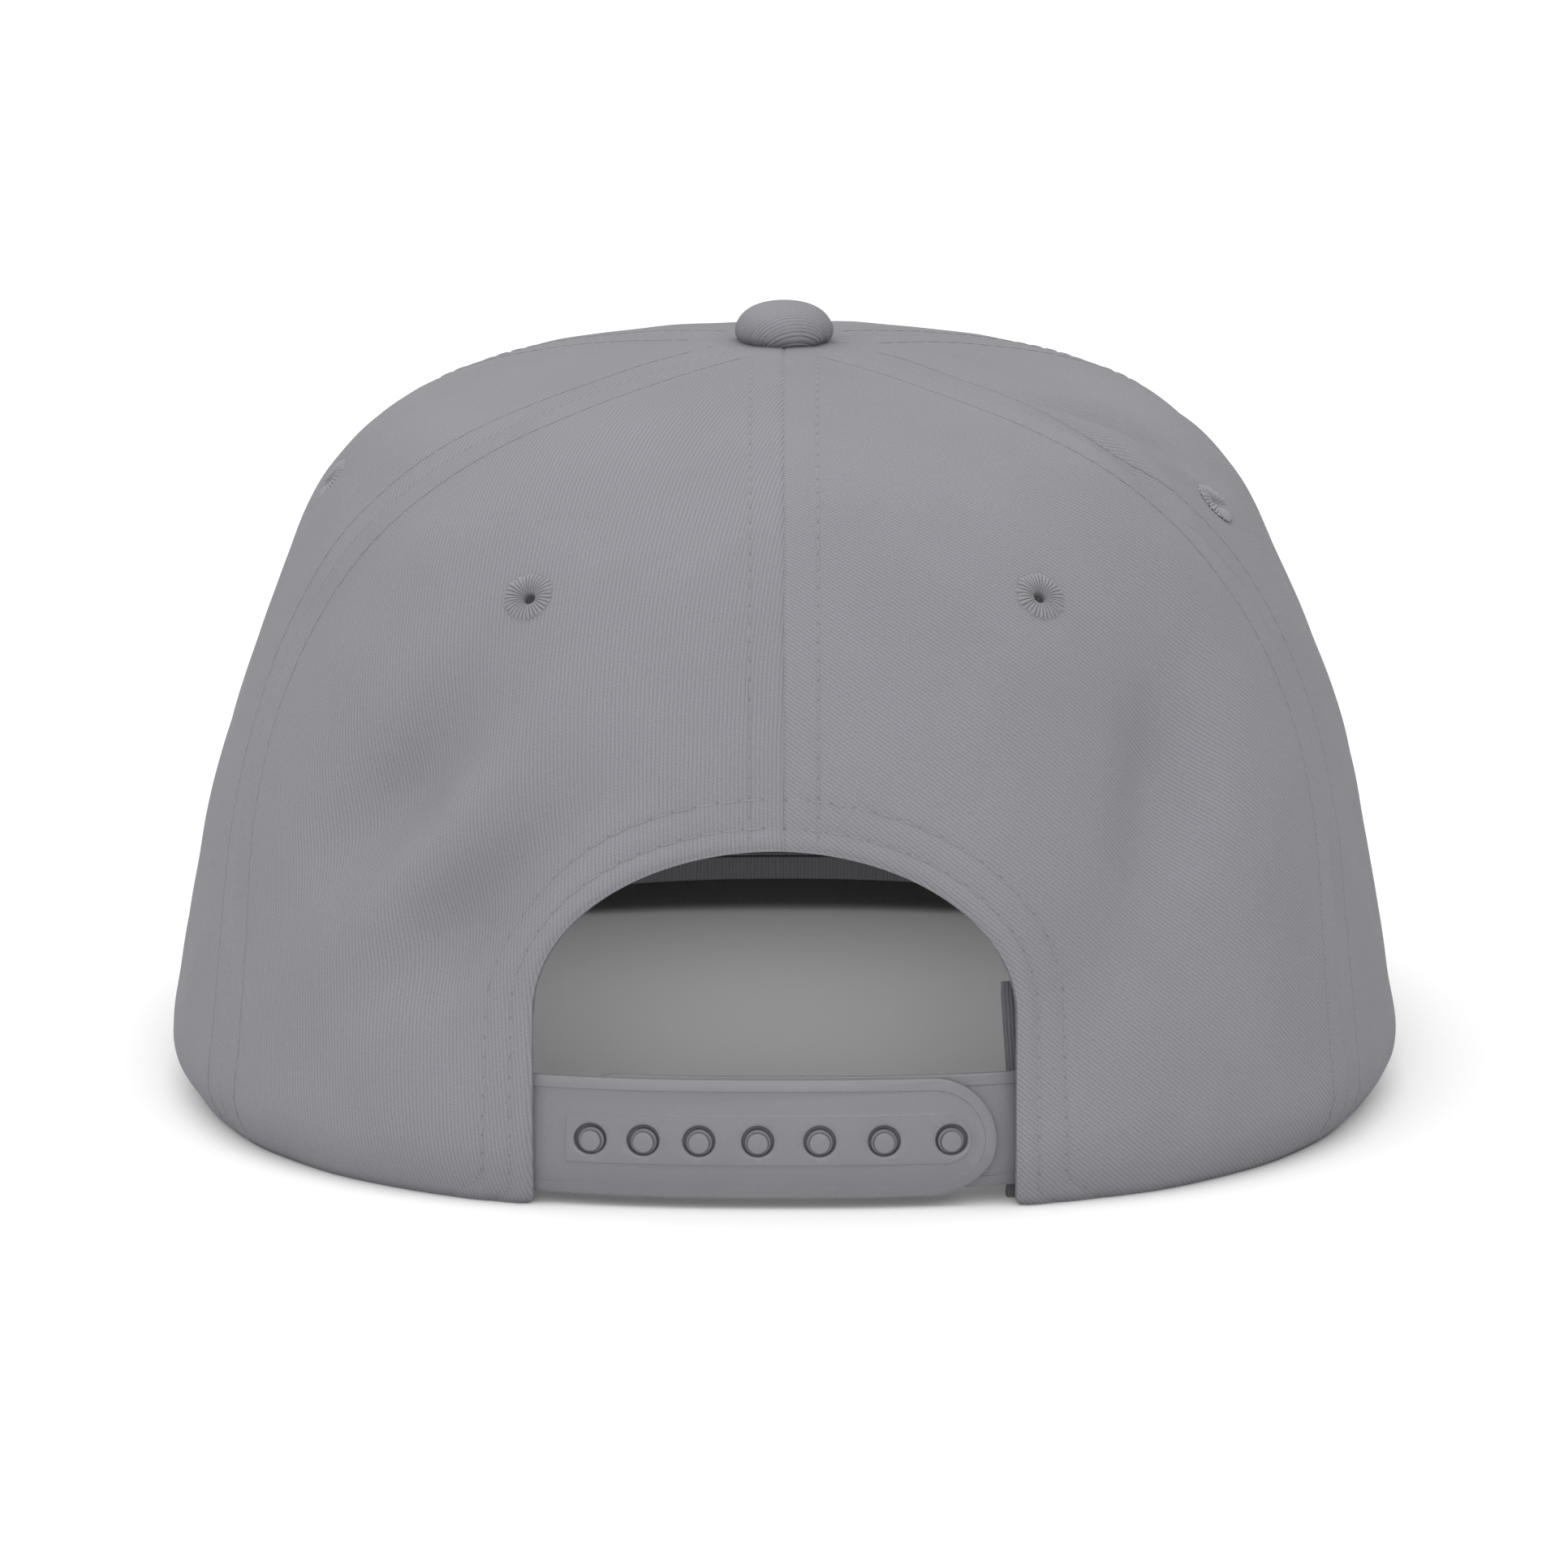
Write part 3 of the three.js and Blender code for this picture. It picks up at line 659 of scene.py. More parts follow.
def sheet(columns, rows, holes=None):
    """Closed sheet: a grid extruded once. Returns the bmesh, and each vertex's column share, row share
    and side, where 1 is the outer side."""
    form = bmesh.new()
    counts = np.array((len(columns) - 1, len(rows) - 1))
    bmesh.ops.create_grid(form, x_segments=int(counts[0]), y_segments=int(counts[1]), size=0.5)
    if holes:
        middles = np.array([face.calc_center_median()[:2] for face in form.faces])
        ranks = (middles + 0.5) * counts
        gone = holes(np.interp(ranks[:, 0], np.arange(len(columns)), columns),
                     np.interp(ranks[:, 1], np.arange(len(rows)), rows))
        bmesh.ops.delete(form, geom=[f for f, g in zip(list(form.faces), gone) if g], context="FACES")
    made = bmesh.ops.extrude_face_region(form, geom=form.faces[:])
    for vert in made["geom"]:
        if isinstance(vert, bmesh.types.BMVert):
            vert.co.z = 1
    places = np.array([vert.co for vert in form.verts])
    ranks = np.rint((places[:, :2] + 0.5) * counts).astype(int)
    return form, columns[ranks[:, 0]], rows[ranks[:, 1]], places[:, 2]


def place_verts(form, points):
    """Puts every vertex in its place and turns all faces outwards."""
    for vert, point in zip(form.verts, points):
        vert.co = point
    bmesh.ops.recalc_face_normals(form, faces=form.faces[:])
    if form.calc_volume(signed=True) < 0:
        bmesh.ops.reverse_faces(form, faces=form.faces[:])


def add_form(form, part):
    """Moves all of one bmesh into another."""
    mesh = bpy.data.meshes.new("part")
    part.to_mesh(mesh)
    part.free()
    form.from_mesh(mesh)
    bpy.data.meshes.remove(mesh)


# Materials
def add_node(tree, kind, inputs=None, **settings):
    """Adds a node. An input takes a value, a socket, or a node for its first output."""
    made = tree.nodes.new(kind)
    for name, value in settings.items():
        setattr(made, name, value)
    for key, source in (inputs or {}).items():
        if isinstance(source, bpy.types.Node):
            source = source.outputs[0]
        if isinstance(source, bpy.types.NodeSocket):
            tree.links.new(source, made.inputs[key])
        else:
            made.inputs[key].default_value = source
    return made


def new_material(name, **values):
    """A material with a Principled shader whose sockets are set by name."""
    made = bpy.data.materials.new(name)
    made.use_nodes = True
    shader = made.node_tree.nodes["Principled BSDF"]
    for key, value in values.items():
        shader.inputs[key.replace("_", " ").title().replace("Ior", "IOR")].default_value = value
    return made, made.node_tree, shader


def shaded(colour, factor):
    return [min(1.0, part * factor) for part in colour] + [1.0]


def blend(tree, share, low, high):
    """Colour that goes from the low one to the high one with a share."""
    mix = add_node(tree, "ShaderNodeMix", {"Factor": share, "A": low, "B": high}, data_type="RGBA")
    return mix.outputs["Result"]


def join(tree, shader, colour, height=None, strength=1.0, distance=MM):
    """Gives a shader its colour, and the bumps of a height where there is one."""
    tree.links.new(colour, shader.inputs["Base Color"])
    if height:
        bump = add_node(tree, "ShaderNodeBump",
                        {"Height": height, "Strength": strength, "Distance": distance})
        tree.links.new(bump.outputs[0], shader.inputs["Normal"])


# Scales of the noises. Those of the cloth count per millimetre: the wander of its ribs over about 8 mm,
# its fibres of about 0.4 mm and its blotches of about 22 mm. The others count per metre: the twist of
# the thread at about 0.3 mm, the plastic's grain at about 0.4 mm and clouds at about 11 mm, and the
# paper's clouds at about 170 mm.
WANDER_SCALE = 0.13
FIBRE_SCALE = 2.6
BLOTCH_SCALE = 0.045
TWIST_SCALE = 3500.0
GRAIN_SCALE = 2400.0
CLOUD_SCALE = 90.0
PAPER_SCALE = 6.0


def cotton_twill(name, colour, drift_reach=0.0, stitched=False):
    """Cotton twill, woven: matt, with close ribs of soft yarn and a faint bloom of fibres. The ribs stand
    side by side along U of the cloth map."""
    s = sizes()
    finish, tree, shader = new_material(name, roughness=0.92, specular_ior_level=0.25, sheen_weight=0.04,
                                        sheen_roughness=0.6)
    cloth = add_node(tree, "ShaderNodeUVMap", uv_map="cloth")
    in_mm = add_node(tree, "ShaderNodeVectorMath", {0: cloth, 1: (1000, 1000, 1000)}, operation="MULTIPLY")
    drift = add_node(tree, "ShaderNodeTexNoise", {"Vector": in_mm, "Scale": WANDER_SCALE, "Detail": 2.0})
    reach = (drift_reach, drift_reach, 0)
    bent = add_node(tree, "ShaderNodeVectorMath", {0: drift.outputs["Color"], 1: reach, 2: in_mm},
                    operation="MULTIPLY_ADD")
    over = (2 * math.pi / (s.rib_pitch / MM), 0, 0)
    beside = (0, 2 * math.pi / (s.yarn_pitch / MM), 0)
    rib_phase = add_node(tree, "ShaderNodeVectorMath", {0: bent, 1: over}, operation="DOT_PRODUCT")
    yarn_phase = add_node(tree, "ShaderNodeVectorMath", {0: bent, 1: beside}, operation="DOT_PRODUCT")
    rib = add_node(tree, "ShaderNodeMath", {0: rib_phase.outputs["Value"]}, operation="SINE")
    skew = add_node(tree, "ShaderNodeMath",
                    {0: rib_phase.outputs["Value"], 1: 0.5, 2: yarn_phase.outputs["Value"]},
                    operation="MULTIPLY_ADD")
    yarn = add_node(tree, "ShaderNodeMath", {0: skew}, operation="SINE")
    fuzz = add_node(tree, "ShaderNodeTexNoise", {"Vector": in_mm, "Scale": FIBRE_SCALE, "Detail": 3.0})
    groove = add_node(tree, "ShaderNodeMapRange", {0: rib, 1: -1.0, 2: 0.35, 3: 0.0, 4: 1.0},
                      interpolation_type="SMOOTHSTEP")
    yarn_shade = add_node(tree, "ShaderNodeMapRange", {0: yarn, 1: -1.0, 2: 1.0, 3: 0.45, 4: 1.0})
    # Darker in the valleys between the ribs and between the yarns, lighter on their crests: painted shade of
    # the weave, over its bumps.
    cover = add_node(tree, "ShaderNodeMath", {0: 1.0, 1: groove}, operation="SUBTRACT")
    shade = add_node(tree, "ShaderNodeMath", {0: cover, 1: yarn_shade}, operation="MULTIPLY")
    body = blend(tree, shade, shaded(colour, 1.05), shaded(colour, 0.84))
    blotch = add_node(tree, "ShaderNodeTexNoise", {"Vector": in_mm, "Scale": BLOTCH_SCALE, "Detail": 3.0})
    tone = add_node(tree, "ShaderNodeMapRange", {0: blotch, 1: 0.3, 2: 0.7, 3: 0.97, 4: 1.03})
    fibre = add_node(tree, "ShaderNodeMapRange", {0: fuzz, 1: 0.3, 2: 0.7, 3: 0.95, 4: 1.05})
    level = add_node(tree, "ShaderNodeMath", {0: tone, 1: fibre}, operation="MULTIPLY")
    tinted = add_node(tree, "ShaderNodeVectorMath", {0: body, 1: level}, operation="MULTIPLY").outputs[0]
    height = add_node(tree, "ShaderNodeMath", {0: groove, 1: 0.05}, operation="MULTIPLY")
    height = add_node(tree, "ShaderNodeMath", {0: yarn, 1: 0.008, 2: height}, operation="MULTIPLY_ADD")
    height = add_node(tree, "ShaderNodeMath", {0: fuzz, 1: 0.05, 2: height}, operation="MULTIPLY_ADD")
    if stitched:
        for label, row in (("seam", s.seam_row), ("hem", s.hem_row_low), ("hem", s.hem_row_high)):
            holes = needle_holes(tree, label, row)
            height = add_node(tree, "ShaderNodeMath", {0: holes, 1: -0.2, 2: height},
                              operation="MULTIPLY_ADD")
            # The needle holes are painted darker: painted shade in the holes.
            tinted = blend(tree, holes, tinted, shaded(colour, 0.6))
    join(tree, shader, tinted, height)
    return finish


def needle_holes(tree, label, row):
    """Mask of the holes where the thread dives into the cloth, along a row at a distance from an edge; the
    cloth is dented there and painted darker, as painted shade in the holes.
    """
    s = sizes()
    edge = add_node(tree, "ShaderNodeUVMap", uv_map=label)
    parts = add_node(tree, "ShaderNodeSeparateXYZ", {0: edge})
    aside = add_node(tree, "ShaderNodeMath", {0: parts.outputs["X"], 1: row}, operation="SUBTRACT")
    half_pitch = s.stitch_pitch / 2
    along = add_node(tree, "ShaderNodeMath", {0: parts.outputs["Y"], 1: half_pitch}, operation="PINGPONG")
    spot = add_node(tree, "ShaderNodeCombineXYZ", {"X": aside, "Y": along})
    reach = add_node(tree, "ShaderNodeVectorMath", {0: spot}, operation="LENGTH")
    return add_node(tree, "ShaderNodeMapRange",
                    {0: reach.outputs["Value"], 1: 0.08 * MM, 2: 0.36 * MM, 3: 0.4, 4: 0.0},
                    interpolation_type="SMOOTHSTEP")


def spun_thread(name, colour):
    """Polyester thread, spun and twisted: a soft lustre with small changes of tone along each stitch."""
    finish, tree, shader = new_material(name, roughness=0.62, sheen_weight=0.15)
    place = add_node(tree, "ShaderNodeTexCoord").outputs["Object"]
    twist = add_node(tree, "ShaderNodeTexNoise", {"Vector": place, "Scale": TWIST_SCALE, "Detail": 2.0})
    body = blend(tree, twist, shaded(colour, 0.82), shaded(colour, 1.14))
    join(tree, shader, body, twist, 0.5, 0.1 * MM)
    return finish


def moulded_polyethylene(name, colour):
    """Polyethylene, injection moulded: satin and waxy, with a fine spark-eroded grain."""
    finish, tree, shader = new_material(name, roughness=0.46, ior=1.5, subsurface_weight=0.15,
                                        subsurface_radius=(1.0, 1.0, 1.0), subsurface_scale=0.6 * MM)
    place = add_node(tree, "ShaderNodeTexCoord").outputs["Object"]
    grain = add_node(tree, "ShaderNodeTexNoise", {"Vector": place, "Scale": GRAIN_SCALE, "Detail": 2.0})
    cloud = add_node(tree, "ShaderNodeTexNoise", {"Vector": place, "Scale": CLOUD_SCALE, "Detail": 3.0})
    mixed = add_node(tree, "ShaderNodeMath", {0: grain, 1: cloud}, operation="ADD")
    share = add_node(tree, "ShaderNodeMapRange", {0: mixed, 1: 0.6, 2: 1.4, 3: 0.0, 4: 1.0})
    body = blend(tree, share, shaded(colour, 0.95), shaded(colour, 1.05))
    join(tree, shader, body, grain, 0.35, 0.05 * MM)
    return finish


def matt_paper(name, colour):
    """Paper, rolled and uncoated: matt and nearly white, with faint clouds of fibre."""
    finish, tree, shader = new_material(name, roughness=0.95, specular_ior_level=0.1)
    place = add_node(tree, "ShaderNodeTexCoord").outputs["Object"]
    cloud = add_node(tree, "ShaderNodeTexNoise", {"Vector": place, "Scale": PAPER_SCALE, "Detail": 4.0})
    join(tree, shader, blend(tree, cloud, shaded(colour, 0.995), shaded(colour, 1.0)))
    return finish


def material(name):
    """The material with a name, made the first time that it is asked for."""
    makers = {
        "crown_cotton_twill_woven": lambda n: cotton_twill(n, colours().cloth, 0.4, stitched=True),
        "cover_cotton_twill_woven": lambda n: cotton_twill(n, colours().cloth),
        "band_cotton_twill_woven": lambda n: cotton_twill(n, colours().band, 0.4),
        "polyester_thread_spun": lambda n: spun_thread(n, colours().thread),
        "polyethylene_moulded": lambda n: moulded_polyethylene(n, colours().plastic),
        "paper_matt": lambda n: matt_paper(n, colours().floor),
    }
    return bpy.data.materials.get(name) or makers[name](name)


# Crown
def build_panel(crown, row):
    panel = Panel(crown, row)
    columns, rows = panel.shares()
    s = sizes()

    def hole(across, up):
        azimuth, level = panel.spot(across, up)
        gap = np.linalg.norm(crown.point(azimuth, level) - panel.eyelet_point, axis=-1)
        return gap < EYELET_CUT * s.eyelet_radius

    form, across, up, outer = sheet(columns, rows, hole)
    azimuth, level = panel.spot(across, up)
    u, v, away, hem_away, hem_along = panel.measures(azimuth, level)
    rise = np.where(outer > 0.5, panel.rise(azimuth, level), -s.cloth_wall)
    place_verts(form, crown.point(azimuth, level, rise))
    over, along = math.cos(panel.lean), math.sin(panel.lean)
    maps = {
        "cloth": np.stack((u * over + v * along, v * over - u * along), -1),
        "seam": np.stack((away, v), -1),
        "hem": np.stack((hem_away, hem_along), -1),
    }
    finish_piece("cloth_" + panel.name, form, "crown_cotton_twill_woven",
                 ["panel_" + panel.name], maps)


class CAP_OT_panels(bpy.types.Operator):
    """Cuts and folds the six panels of the crown, with their seams, hems and dents"""
    bl_idname = "cap.panels"
    bl_label = "Crown panels"

    def execute(self, context):
        crown = Crown()
        for row in PANELS:
            build_panel(crown, row)
        return {"FINISHED"}


# Stitches
def sew(form, points, normals, runs):
    """Adds a stitch between each two needle holes along a line, half sunk in the cloth."""
    s = sizes()
    row = bmesh.new()
    half = s.stitch_length / 2
    first, last = math.ceil(runs[0] / s.stitch_pitch), math.floor(runs[-1] / s.stitch_pitch)
    for index in range(first, last):
        middle = (index + 0.5) * s.stitch_pitch
        places = np.array((middle - half, middle, middle + half))
        start, centre, stop = (Vector([np.interp(at, runs, points[:, k]) for k in range(3)]) for at in places)
        up = Vector([np.interp(middle, runs, normals[:, k]) for k in range(3)])
        along = (stop - start) / 2
        side = along.cross(up).normalized()
        up = side.cross(along).normalized()
        matrix = Matrix((side * s.stitch_radius, up * s.stitch_radius, along)).transposed().to_4x4()
        matrix.translation = centre + up * s.stitch_radius * 0.2
        bmesh.ops.create_uvsphere(row, u_segments=6, v_segments=6, radius=1, matrix=matrix)
    add_form(form, row)


def seam_rows(panel):
    """Lines of places that run beside both seams of a panel: azimuths, levels and runs."""
    s = sizes()
    levels = np.linspace(0.006, 0.95, 400)
    start, stop = panel.seams_at(levels)
    for edge, inward in ((start, 1), (stop, -1)):
        foot = panel.map.across(edge, levels)
        turned = 0 * levels + 3.0
        for _ in range(6):
            reach = abs(panel.map.across(edge + inward * turned, levels) - foot)
            turned = np.minimum(turned * s.seam_row / reach, stop - start)
        azimuths = edge + inward * turned
        inside = turned < 0.48 * (stop - start)
        if panel.has_hem:
            hem_away = panel.measures(azimuths, levels)[3]
            at_centre = abs(edge[0]) < 1
            inside = inside & (hem_away > 0.8 * MM) & ((levels > panel.hem[1].max()) | (not at_centre))
        yield azimuths[inside], levels[inside], panel.map.climb(azimuths[inside], levels[inside])


def hem_rows(panel):
    """Lines of places that run beside the opening's edge: azimuths, levels and runs."""
    s = sizes()
    across = np.linspace(0.002, 0.985, 400)
    for row in (s.hem_row_low, s.hem_row_high):
        up = np.full_like(across, row / HEM_ROW_GUESS)
        for _ in range(8):
            azimuths, levels = panel.spot(across, up)
            _, _, _, hem_away, hem_along = panel.measures(azimuths, levels)
            up = up * row / hem_away
        yield azimuths, levels, hem_along


class CAP_OT_stitches(bpy.types.Operator):
    """Sews the rows of stitches beside the seams and round the opening"""
    bl_idname = "cap.stitches"
    bl_label = "Crown stitches"

    def execute(self, context):
        crown = Crown()
        for name, rows in (("seam_stitches", seam_rows), ("hem_stitches", hem_rows)):
            form = bmesh.new()
            for row in PANELS:
                panel = Panel(crown, row)
                if rows is hem_rows and not panel.has_hem:
                    continue
                for azimuths, levels, runs in rows(panel):
                    sew(form, panel.surface(azimuths, levels), crown.normal(azimuths, levels), runs)
            finish_piece(name, form, "polyester_thread_spun")
        return {"FINISHED"}


# Eyelets, in millimetres: a rolled rim of satin stitches over the cloth, a barrel through it and a
# flatter rim inside. The radius is a share of the way from the hole to the outer edge.
EYELET_SECTION = (
    {"share": 0.02, "height": -1.5},
    {"share": 0.0, "height": -0.7},
    {"share": 0.06, "height": -0.35},
    {"share": 0.2, "height": 0.0},
    {"share": 0.4, "height": 0.22},
    {"share": 0.62, "height": 0.28},
    {"share": 0.82, "height": 0.18},
    {"share": 0.95, "height": 0.0},
    {"share": 1.0, "height": -0.16},
    {"share": 0.9, "height": -0.2},
    {"share": 0.45, "height": -0.22},
    {"share": 0.45, "height": -1.35},
    {"share": 0.85, "height": -1.4},
    {"share": 0.95, "height": -1.6},
    {"share": 0.8, "height": -1.85},
    {"share": 0.4, "height": -1.95},
    {"share": 0.1, "height": -1.8},
)
EYELET_THREADS = 32
STEPS_PER_THREAD = 6


def spin_profile(form, places, steps, closed):
    """Turns a line of radius and height round the Z axis into a closed shape."""
    verts = [form.verts.new((radius, 0, height)) for radius, height in places]
    pairs = list(zip(verts, verts[1:])) + ([(verts[-1], verts[0])] if closed else [])
    edges = [form.edges.new(pair) for pair in pairs]
    bmesh.ops.spin(form, geom=verts + edges, axis=(0, 0, 1), cent=(0, 0, 0), dvec=(0, 0, 0),
                   angle=2 * math.pi, steps=steps, use_merge=True)
    bmesh.ops.remove_doubles(form, verts=form.verts[:], dist=0.001 * MM)
    bmesh.ops.recalc_face_normals(form, faces=form.faces[:])


def build_eyelet(crown, row, seed):
    s = sizes()
    span = s.eyelet_radius - s.eyelet_hole
    form = bmesh.new()
    spin_profile(form, [(s.eyelet_hole + span * p["share"], p["height"] * MM) for p in EYELET_SECTION],
                 EYELET_THREADS * STEPS_PER_THREAD, True)
    uneven = np.random.default_rng(seed).uniform(-1, 1, (EYELET_THREADS, 2))
    flat = np.array([vert.co for vert in form.verts])
    turned = np.arctan2(flat[:, 1], flat[:, 0]) % (2 * math.pi) / (2 * math.pi) * EYELET_THREADS
    thread = (turned + 1e-6).astype(int) % EYELET_THREADS
    bulge = abs(np.sin(math.pi * turned)) ** 0.6
    share = (np.hypot(flat[:, 0], flat[:, 1]) - s.eyelet_hole) / span
    on_top = (flat[:, 2] > -0.4 * MM) * np.clip(4 * share + 0.2, 0, 1)
    rise = flat[:, 2] + on_top * MM * (0.3 * bulge - 0.14 + 0.07 * uneven[thread, 0])
    reach = 1 + (share > 0.8) * (0.05 * uneven[thread, 1] + 0.03 * bulge)
    azimuth, level = row["azimuth"], row["level"]
    per_turn = np.linalg.norm(crown.point(azimuth + 0.5, level) - crown.point(azimuth - 0.5, level))
    tall = np.linalg.norm(crown.point(azimuth, level + 0.005) - crown.point(azimuth, level - 0.005))
    per_level = tall / 0.01
    around = azimuth + flat[:, 0] * reach / per_turn
    points = crown.point(around, level + flat[:, 1] * reach / per_level, rise - 0.2 * MM)
    place_verts(form, points)
    finish_piece("sewn_eyelet_" + row["name"], form, "polyester_thread_spun",
                 ["eyelet_" + row["name"]], sharp=80)


class CAP_OT_eyelets(bpy.types.Operator):
    """Sews the six eyelets"""
    bl_idname = "cap.eyelets"
    bl_label = "Eyelets"

    def execute(self, context):
        crown = Crown()
        for seed, row in enumerate(EYELETS):
            build_eyelet(crown, row, seed)
        return {"FINISHED"}


# Button: angles from its widest line to the top and to the tucked edge, the height of that line, its
# pleats round the edge, and the azimuth that the ribs of its cover cross
BUTTON_TUCK = math.radians(40)
BUTTON_WAIST_SHARE = 0.3
BUTTON_PLEATS = 13
BUTTON_RIB_TURN = math.radians(75)
BUTTON_RIB_DEPTH = 0.11 * MM


def build_button(crown):
    s = sizes()
    waist = BUTTON_WAIST_SHARE * s.button_height
    angles = np.linspace(math.pi / 2, -BUTTON_TUCK, 64)
    rise = np.where(angles > 0, s.button_height - waist, waist / math.sin(BUTTON_TUCK))
    radii = s.button_radius * np.cos(angles) ** 0.8
    heights = waist + rise * np.sin(angles)
    radii[0] = 0
    form = bmesh.new()
    spin_profile(form, list(zip(radii, heights)) + [(0, 0)], 240, False)
    runs = run_lengths(np.stack((radii, heights), -1))
    maps = []
    for vert in form.verts:
        angle = math.atan2(vert.co.y, vert.co.x)
        radius = math.hypot(vert.co.x, vert.co.y)
        nearest = int(np.argmin((radii - radius) ** 2 + (heights - vert.co.z) ** 2))
        turned = angle + BUTTON_RIB_TURN
        place = runs[nearest] * math.cos(turned), runs[nearest] * math.sin(turned)
        drop = np.clip((waist + 2 * MM - vert.co.z) / (waist + 2 * MM), 0, 1)
        pleat = math.sin(BUTTON_PLEATS * angle + 1.3 * math.sin(3 * angle)) + 0.6 * math.sin(7 * angle + 2)
        rib = BUTTON_RIB_DEPTH * drop * math.cos(2 * math.pi * place[0] / (1.4 * s.rib_pitch))
        reach = 1 + 0.012 * drop * pleat + rib / max(radius, MM)
        if nearest < len(radii) - 1:
            vert.co.x, vert.co.y = vert.co.x * reach, vert.co.y * reach
        maps.append(place)
    seat = Vector((0, CROWN_Y, s.crown_height - 0.8 * MM))
    bmesh.ops.translate(form, verts=form.verts[:], vec=seat)
    finish_piece("covered_button", form, "cover_cotton_twill_woven", ["button"],
                 {"cloth": np.array(maps)})


class CAP_OT_button(bpy.types.Operator):
    """Covers the button on top of the crown"""
    bl_idname = "cap.button"
    bl_label = "Button"

    def execute(self, context):
        build_button(Crown())
        return {"FINISHED"}


# Peak: where its corners meet the crown, its rows of stitches and the rounding of its edge
PEAK_CORNER = 113.0
PEAK_ROWS = 8
PEAK_ROW_PITCH = 6.4 * MM
PEAK_FIRST_ROW = 3.2 * MM
PEAK_ROUNDING = 1.9 * MM


class Peak:
    """Flat peak that slopes down from its middle to its sides and is cut to a rounded front edge."""

    def __init__(self, crown):
        s = sizes()
        self.crown = crown
        self.seat_depth = s.cloth_wall + s.piece_gap + s.band_wall
        self.edge_line = self.plan(np.linspace(0, 1, 500), np.ones(500))

    def plan(self, across, out):
        """Places seen from above, from the seat under the crown to the outer edge."""
        s = sizes()
        sweep = np.radians((2 * across - 1) * 90)
        sine, cosine = np.sin(sweep), np.cos(sweep)
        corner = self.crown.outline(PEAK_CORNER, 0)
        power = PEAK_SQUARENESS
        reach = (abs(sine) ** power + abs(cosine) ** power) ** (-1 / power)
        front = CROWN_Y + s.crown_front + s.peak_length - corner[1]
        outer = np.stack((reach * sine * s.peak_width / 2, corner[1] + reach * cosine * front), -1)
        azimuth = 180 - (2 * across - 1) * (180 - PEAK_CORNER)
        seat = self.crown.outline(azimuth, 0) - self.crown.normal(azimuth, 0) * self.seat_depth
        share = np.asarray(out)[..., None]
        flat = seat[..., :2] * (1 - share) + outer * share
        return np.concatenate((flat, np.zeros_like(flat[..., :1])), -1)

    def point(self, across, out, side):
        """Point on the covered board, where side is 1 on the upper face and 0 on the lower one."""
        s = sizes()
        place = self.plan(across, out)
        away, _ = measure_line(place.reshape(-1, 3), self.edge_line)
        away = away.reshape(place.shape[:-1])
        rest = np.clip(1 - away / PEAK_ROUNDING, 0, 1)
        half = s.peak_thickness / 2 * (0.1 + 0.9 * np.sqrt(1 - rest * rest))
        for row in range(PEAK_ROWS):
            gap = (away - PEAK_FIRST_ROW - row * PEAK_ROW_PITCH) / MM
            half = half - 0.16 * MM * np.exp(-(gap / 0.5) ** 2)
        share = np.clip(1 - (2 * place[..., 0] / s.peak_width) ** 2, 0, 1)
        middle = s.peak_thickness / 2 + s.peak_camber * share
        place[..., 2] = middle + (2 * side - 1) * half
        return place


def build_peak(crown):
    s = sizes()
    peak = Peak(crown)
    columns = np.linspace(0, 1, 181)
    near_edge = np.array((0, 0.12, 0.3, 0.6, 1, 1.5, 2, 2.6)) * MM
    rows = spaced(70 * MM, np.array((0, 1)) * MM, near_edge, 0.9 * MM)
    form, across, out, side = sheet(columns, rows)
    points = peak.point(across, out, side)
    place_verts(form, points)
    finish_piece("peak_cover", form, "cover_cotton_twill_woven", ["peak"], {"cloth": points[:, :2]})


def sew_peak(crown):
    """Rows of stitches that run beside the peak's edge, on both of its faces."""
    peak = Peak(crown)
    form = bmesh.new()
    across = np.linspace(0.004, 0.996, 500)
    for index in range(PEAK_ROWS):
        row = PEAK_FIRST_ROW + index * PEAK_ROW_PITCH
        out = 1 - row / (70 * MM) + 0 * across
        for _ in range(8):
            away, _ = measure_line(peak.plan(across, out), peak.edge_line)
            out = np.clip(out + (away - row) / (75 * MM), 0, 1)
        seat_gap = np.linalg.norm(peak.plan(across, out) - peak.plan(across, 0 * out), axis=-1)
        shown = (seat_gap > peak.seat_depth + 0.8 * MM) & (abs(away - row) < 0.3 * MM)
        for side, up in ((1, 1.0), (0, -1.0)):
            points = peak.point(across[shown], out[shown], side)
            sew(form, points, np.zeros_like(points) + (0, 0, up), run_lengths(points))
    finish_piece("peak_stitches", form, "polyester_thread_spun")


class CAP_OT_peak(bpy.types.Operator):
    """Covers the peak and sews its rows of stitches"""
    bl_idname = "cap.peak"
    bl_label = "Peak"

    def execute(self, context):
        crown = Crown()
        build_peak(crown)
        sew_peak(crown)
        return {"FINISHED"}


# Sweatband
BAND_CLEARANCE = 0.7 * MM
BAND_SETBACK_LEFT = 1.8 * MM
BAND_EASE_COLUMNS = 48
BAND_RELIEF = (
    {"at": 0.0, "half": 0.8, "rise": -0.4},
    {"at": 3.0, "half": 0.5, "rise": -0.2},
    {"at": 6.0, "half": 2.0, "rise": 0.15},
)


def arch_side(side):
    """Sideways place of the opening's edge, on the left at -1 and the right at 1."""
    return sizes().arch_shift + side * sizes().arch_half_width


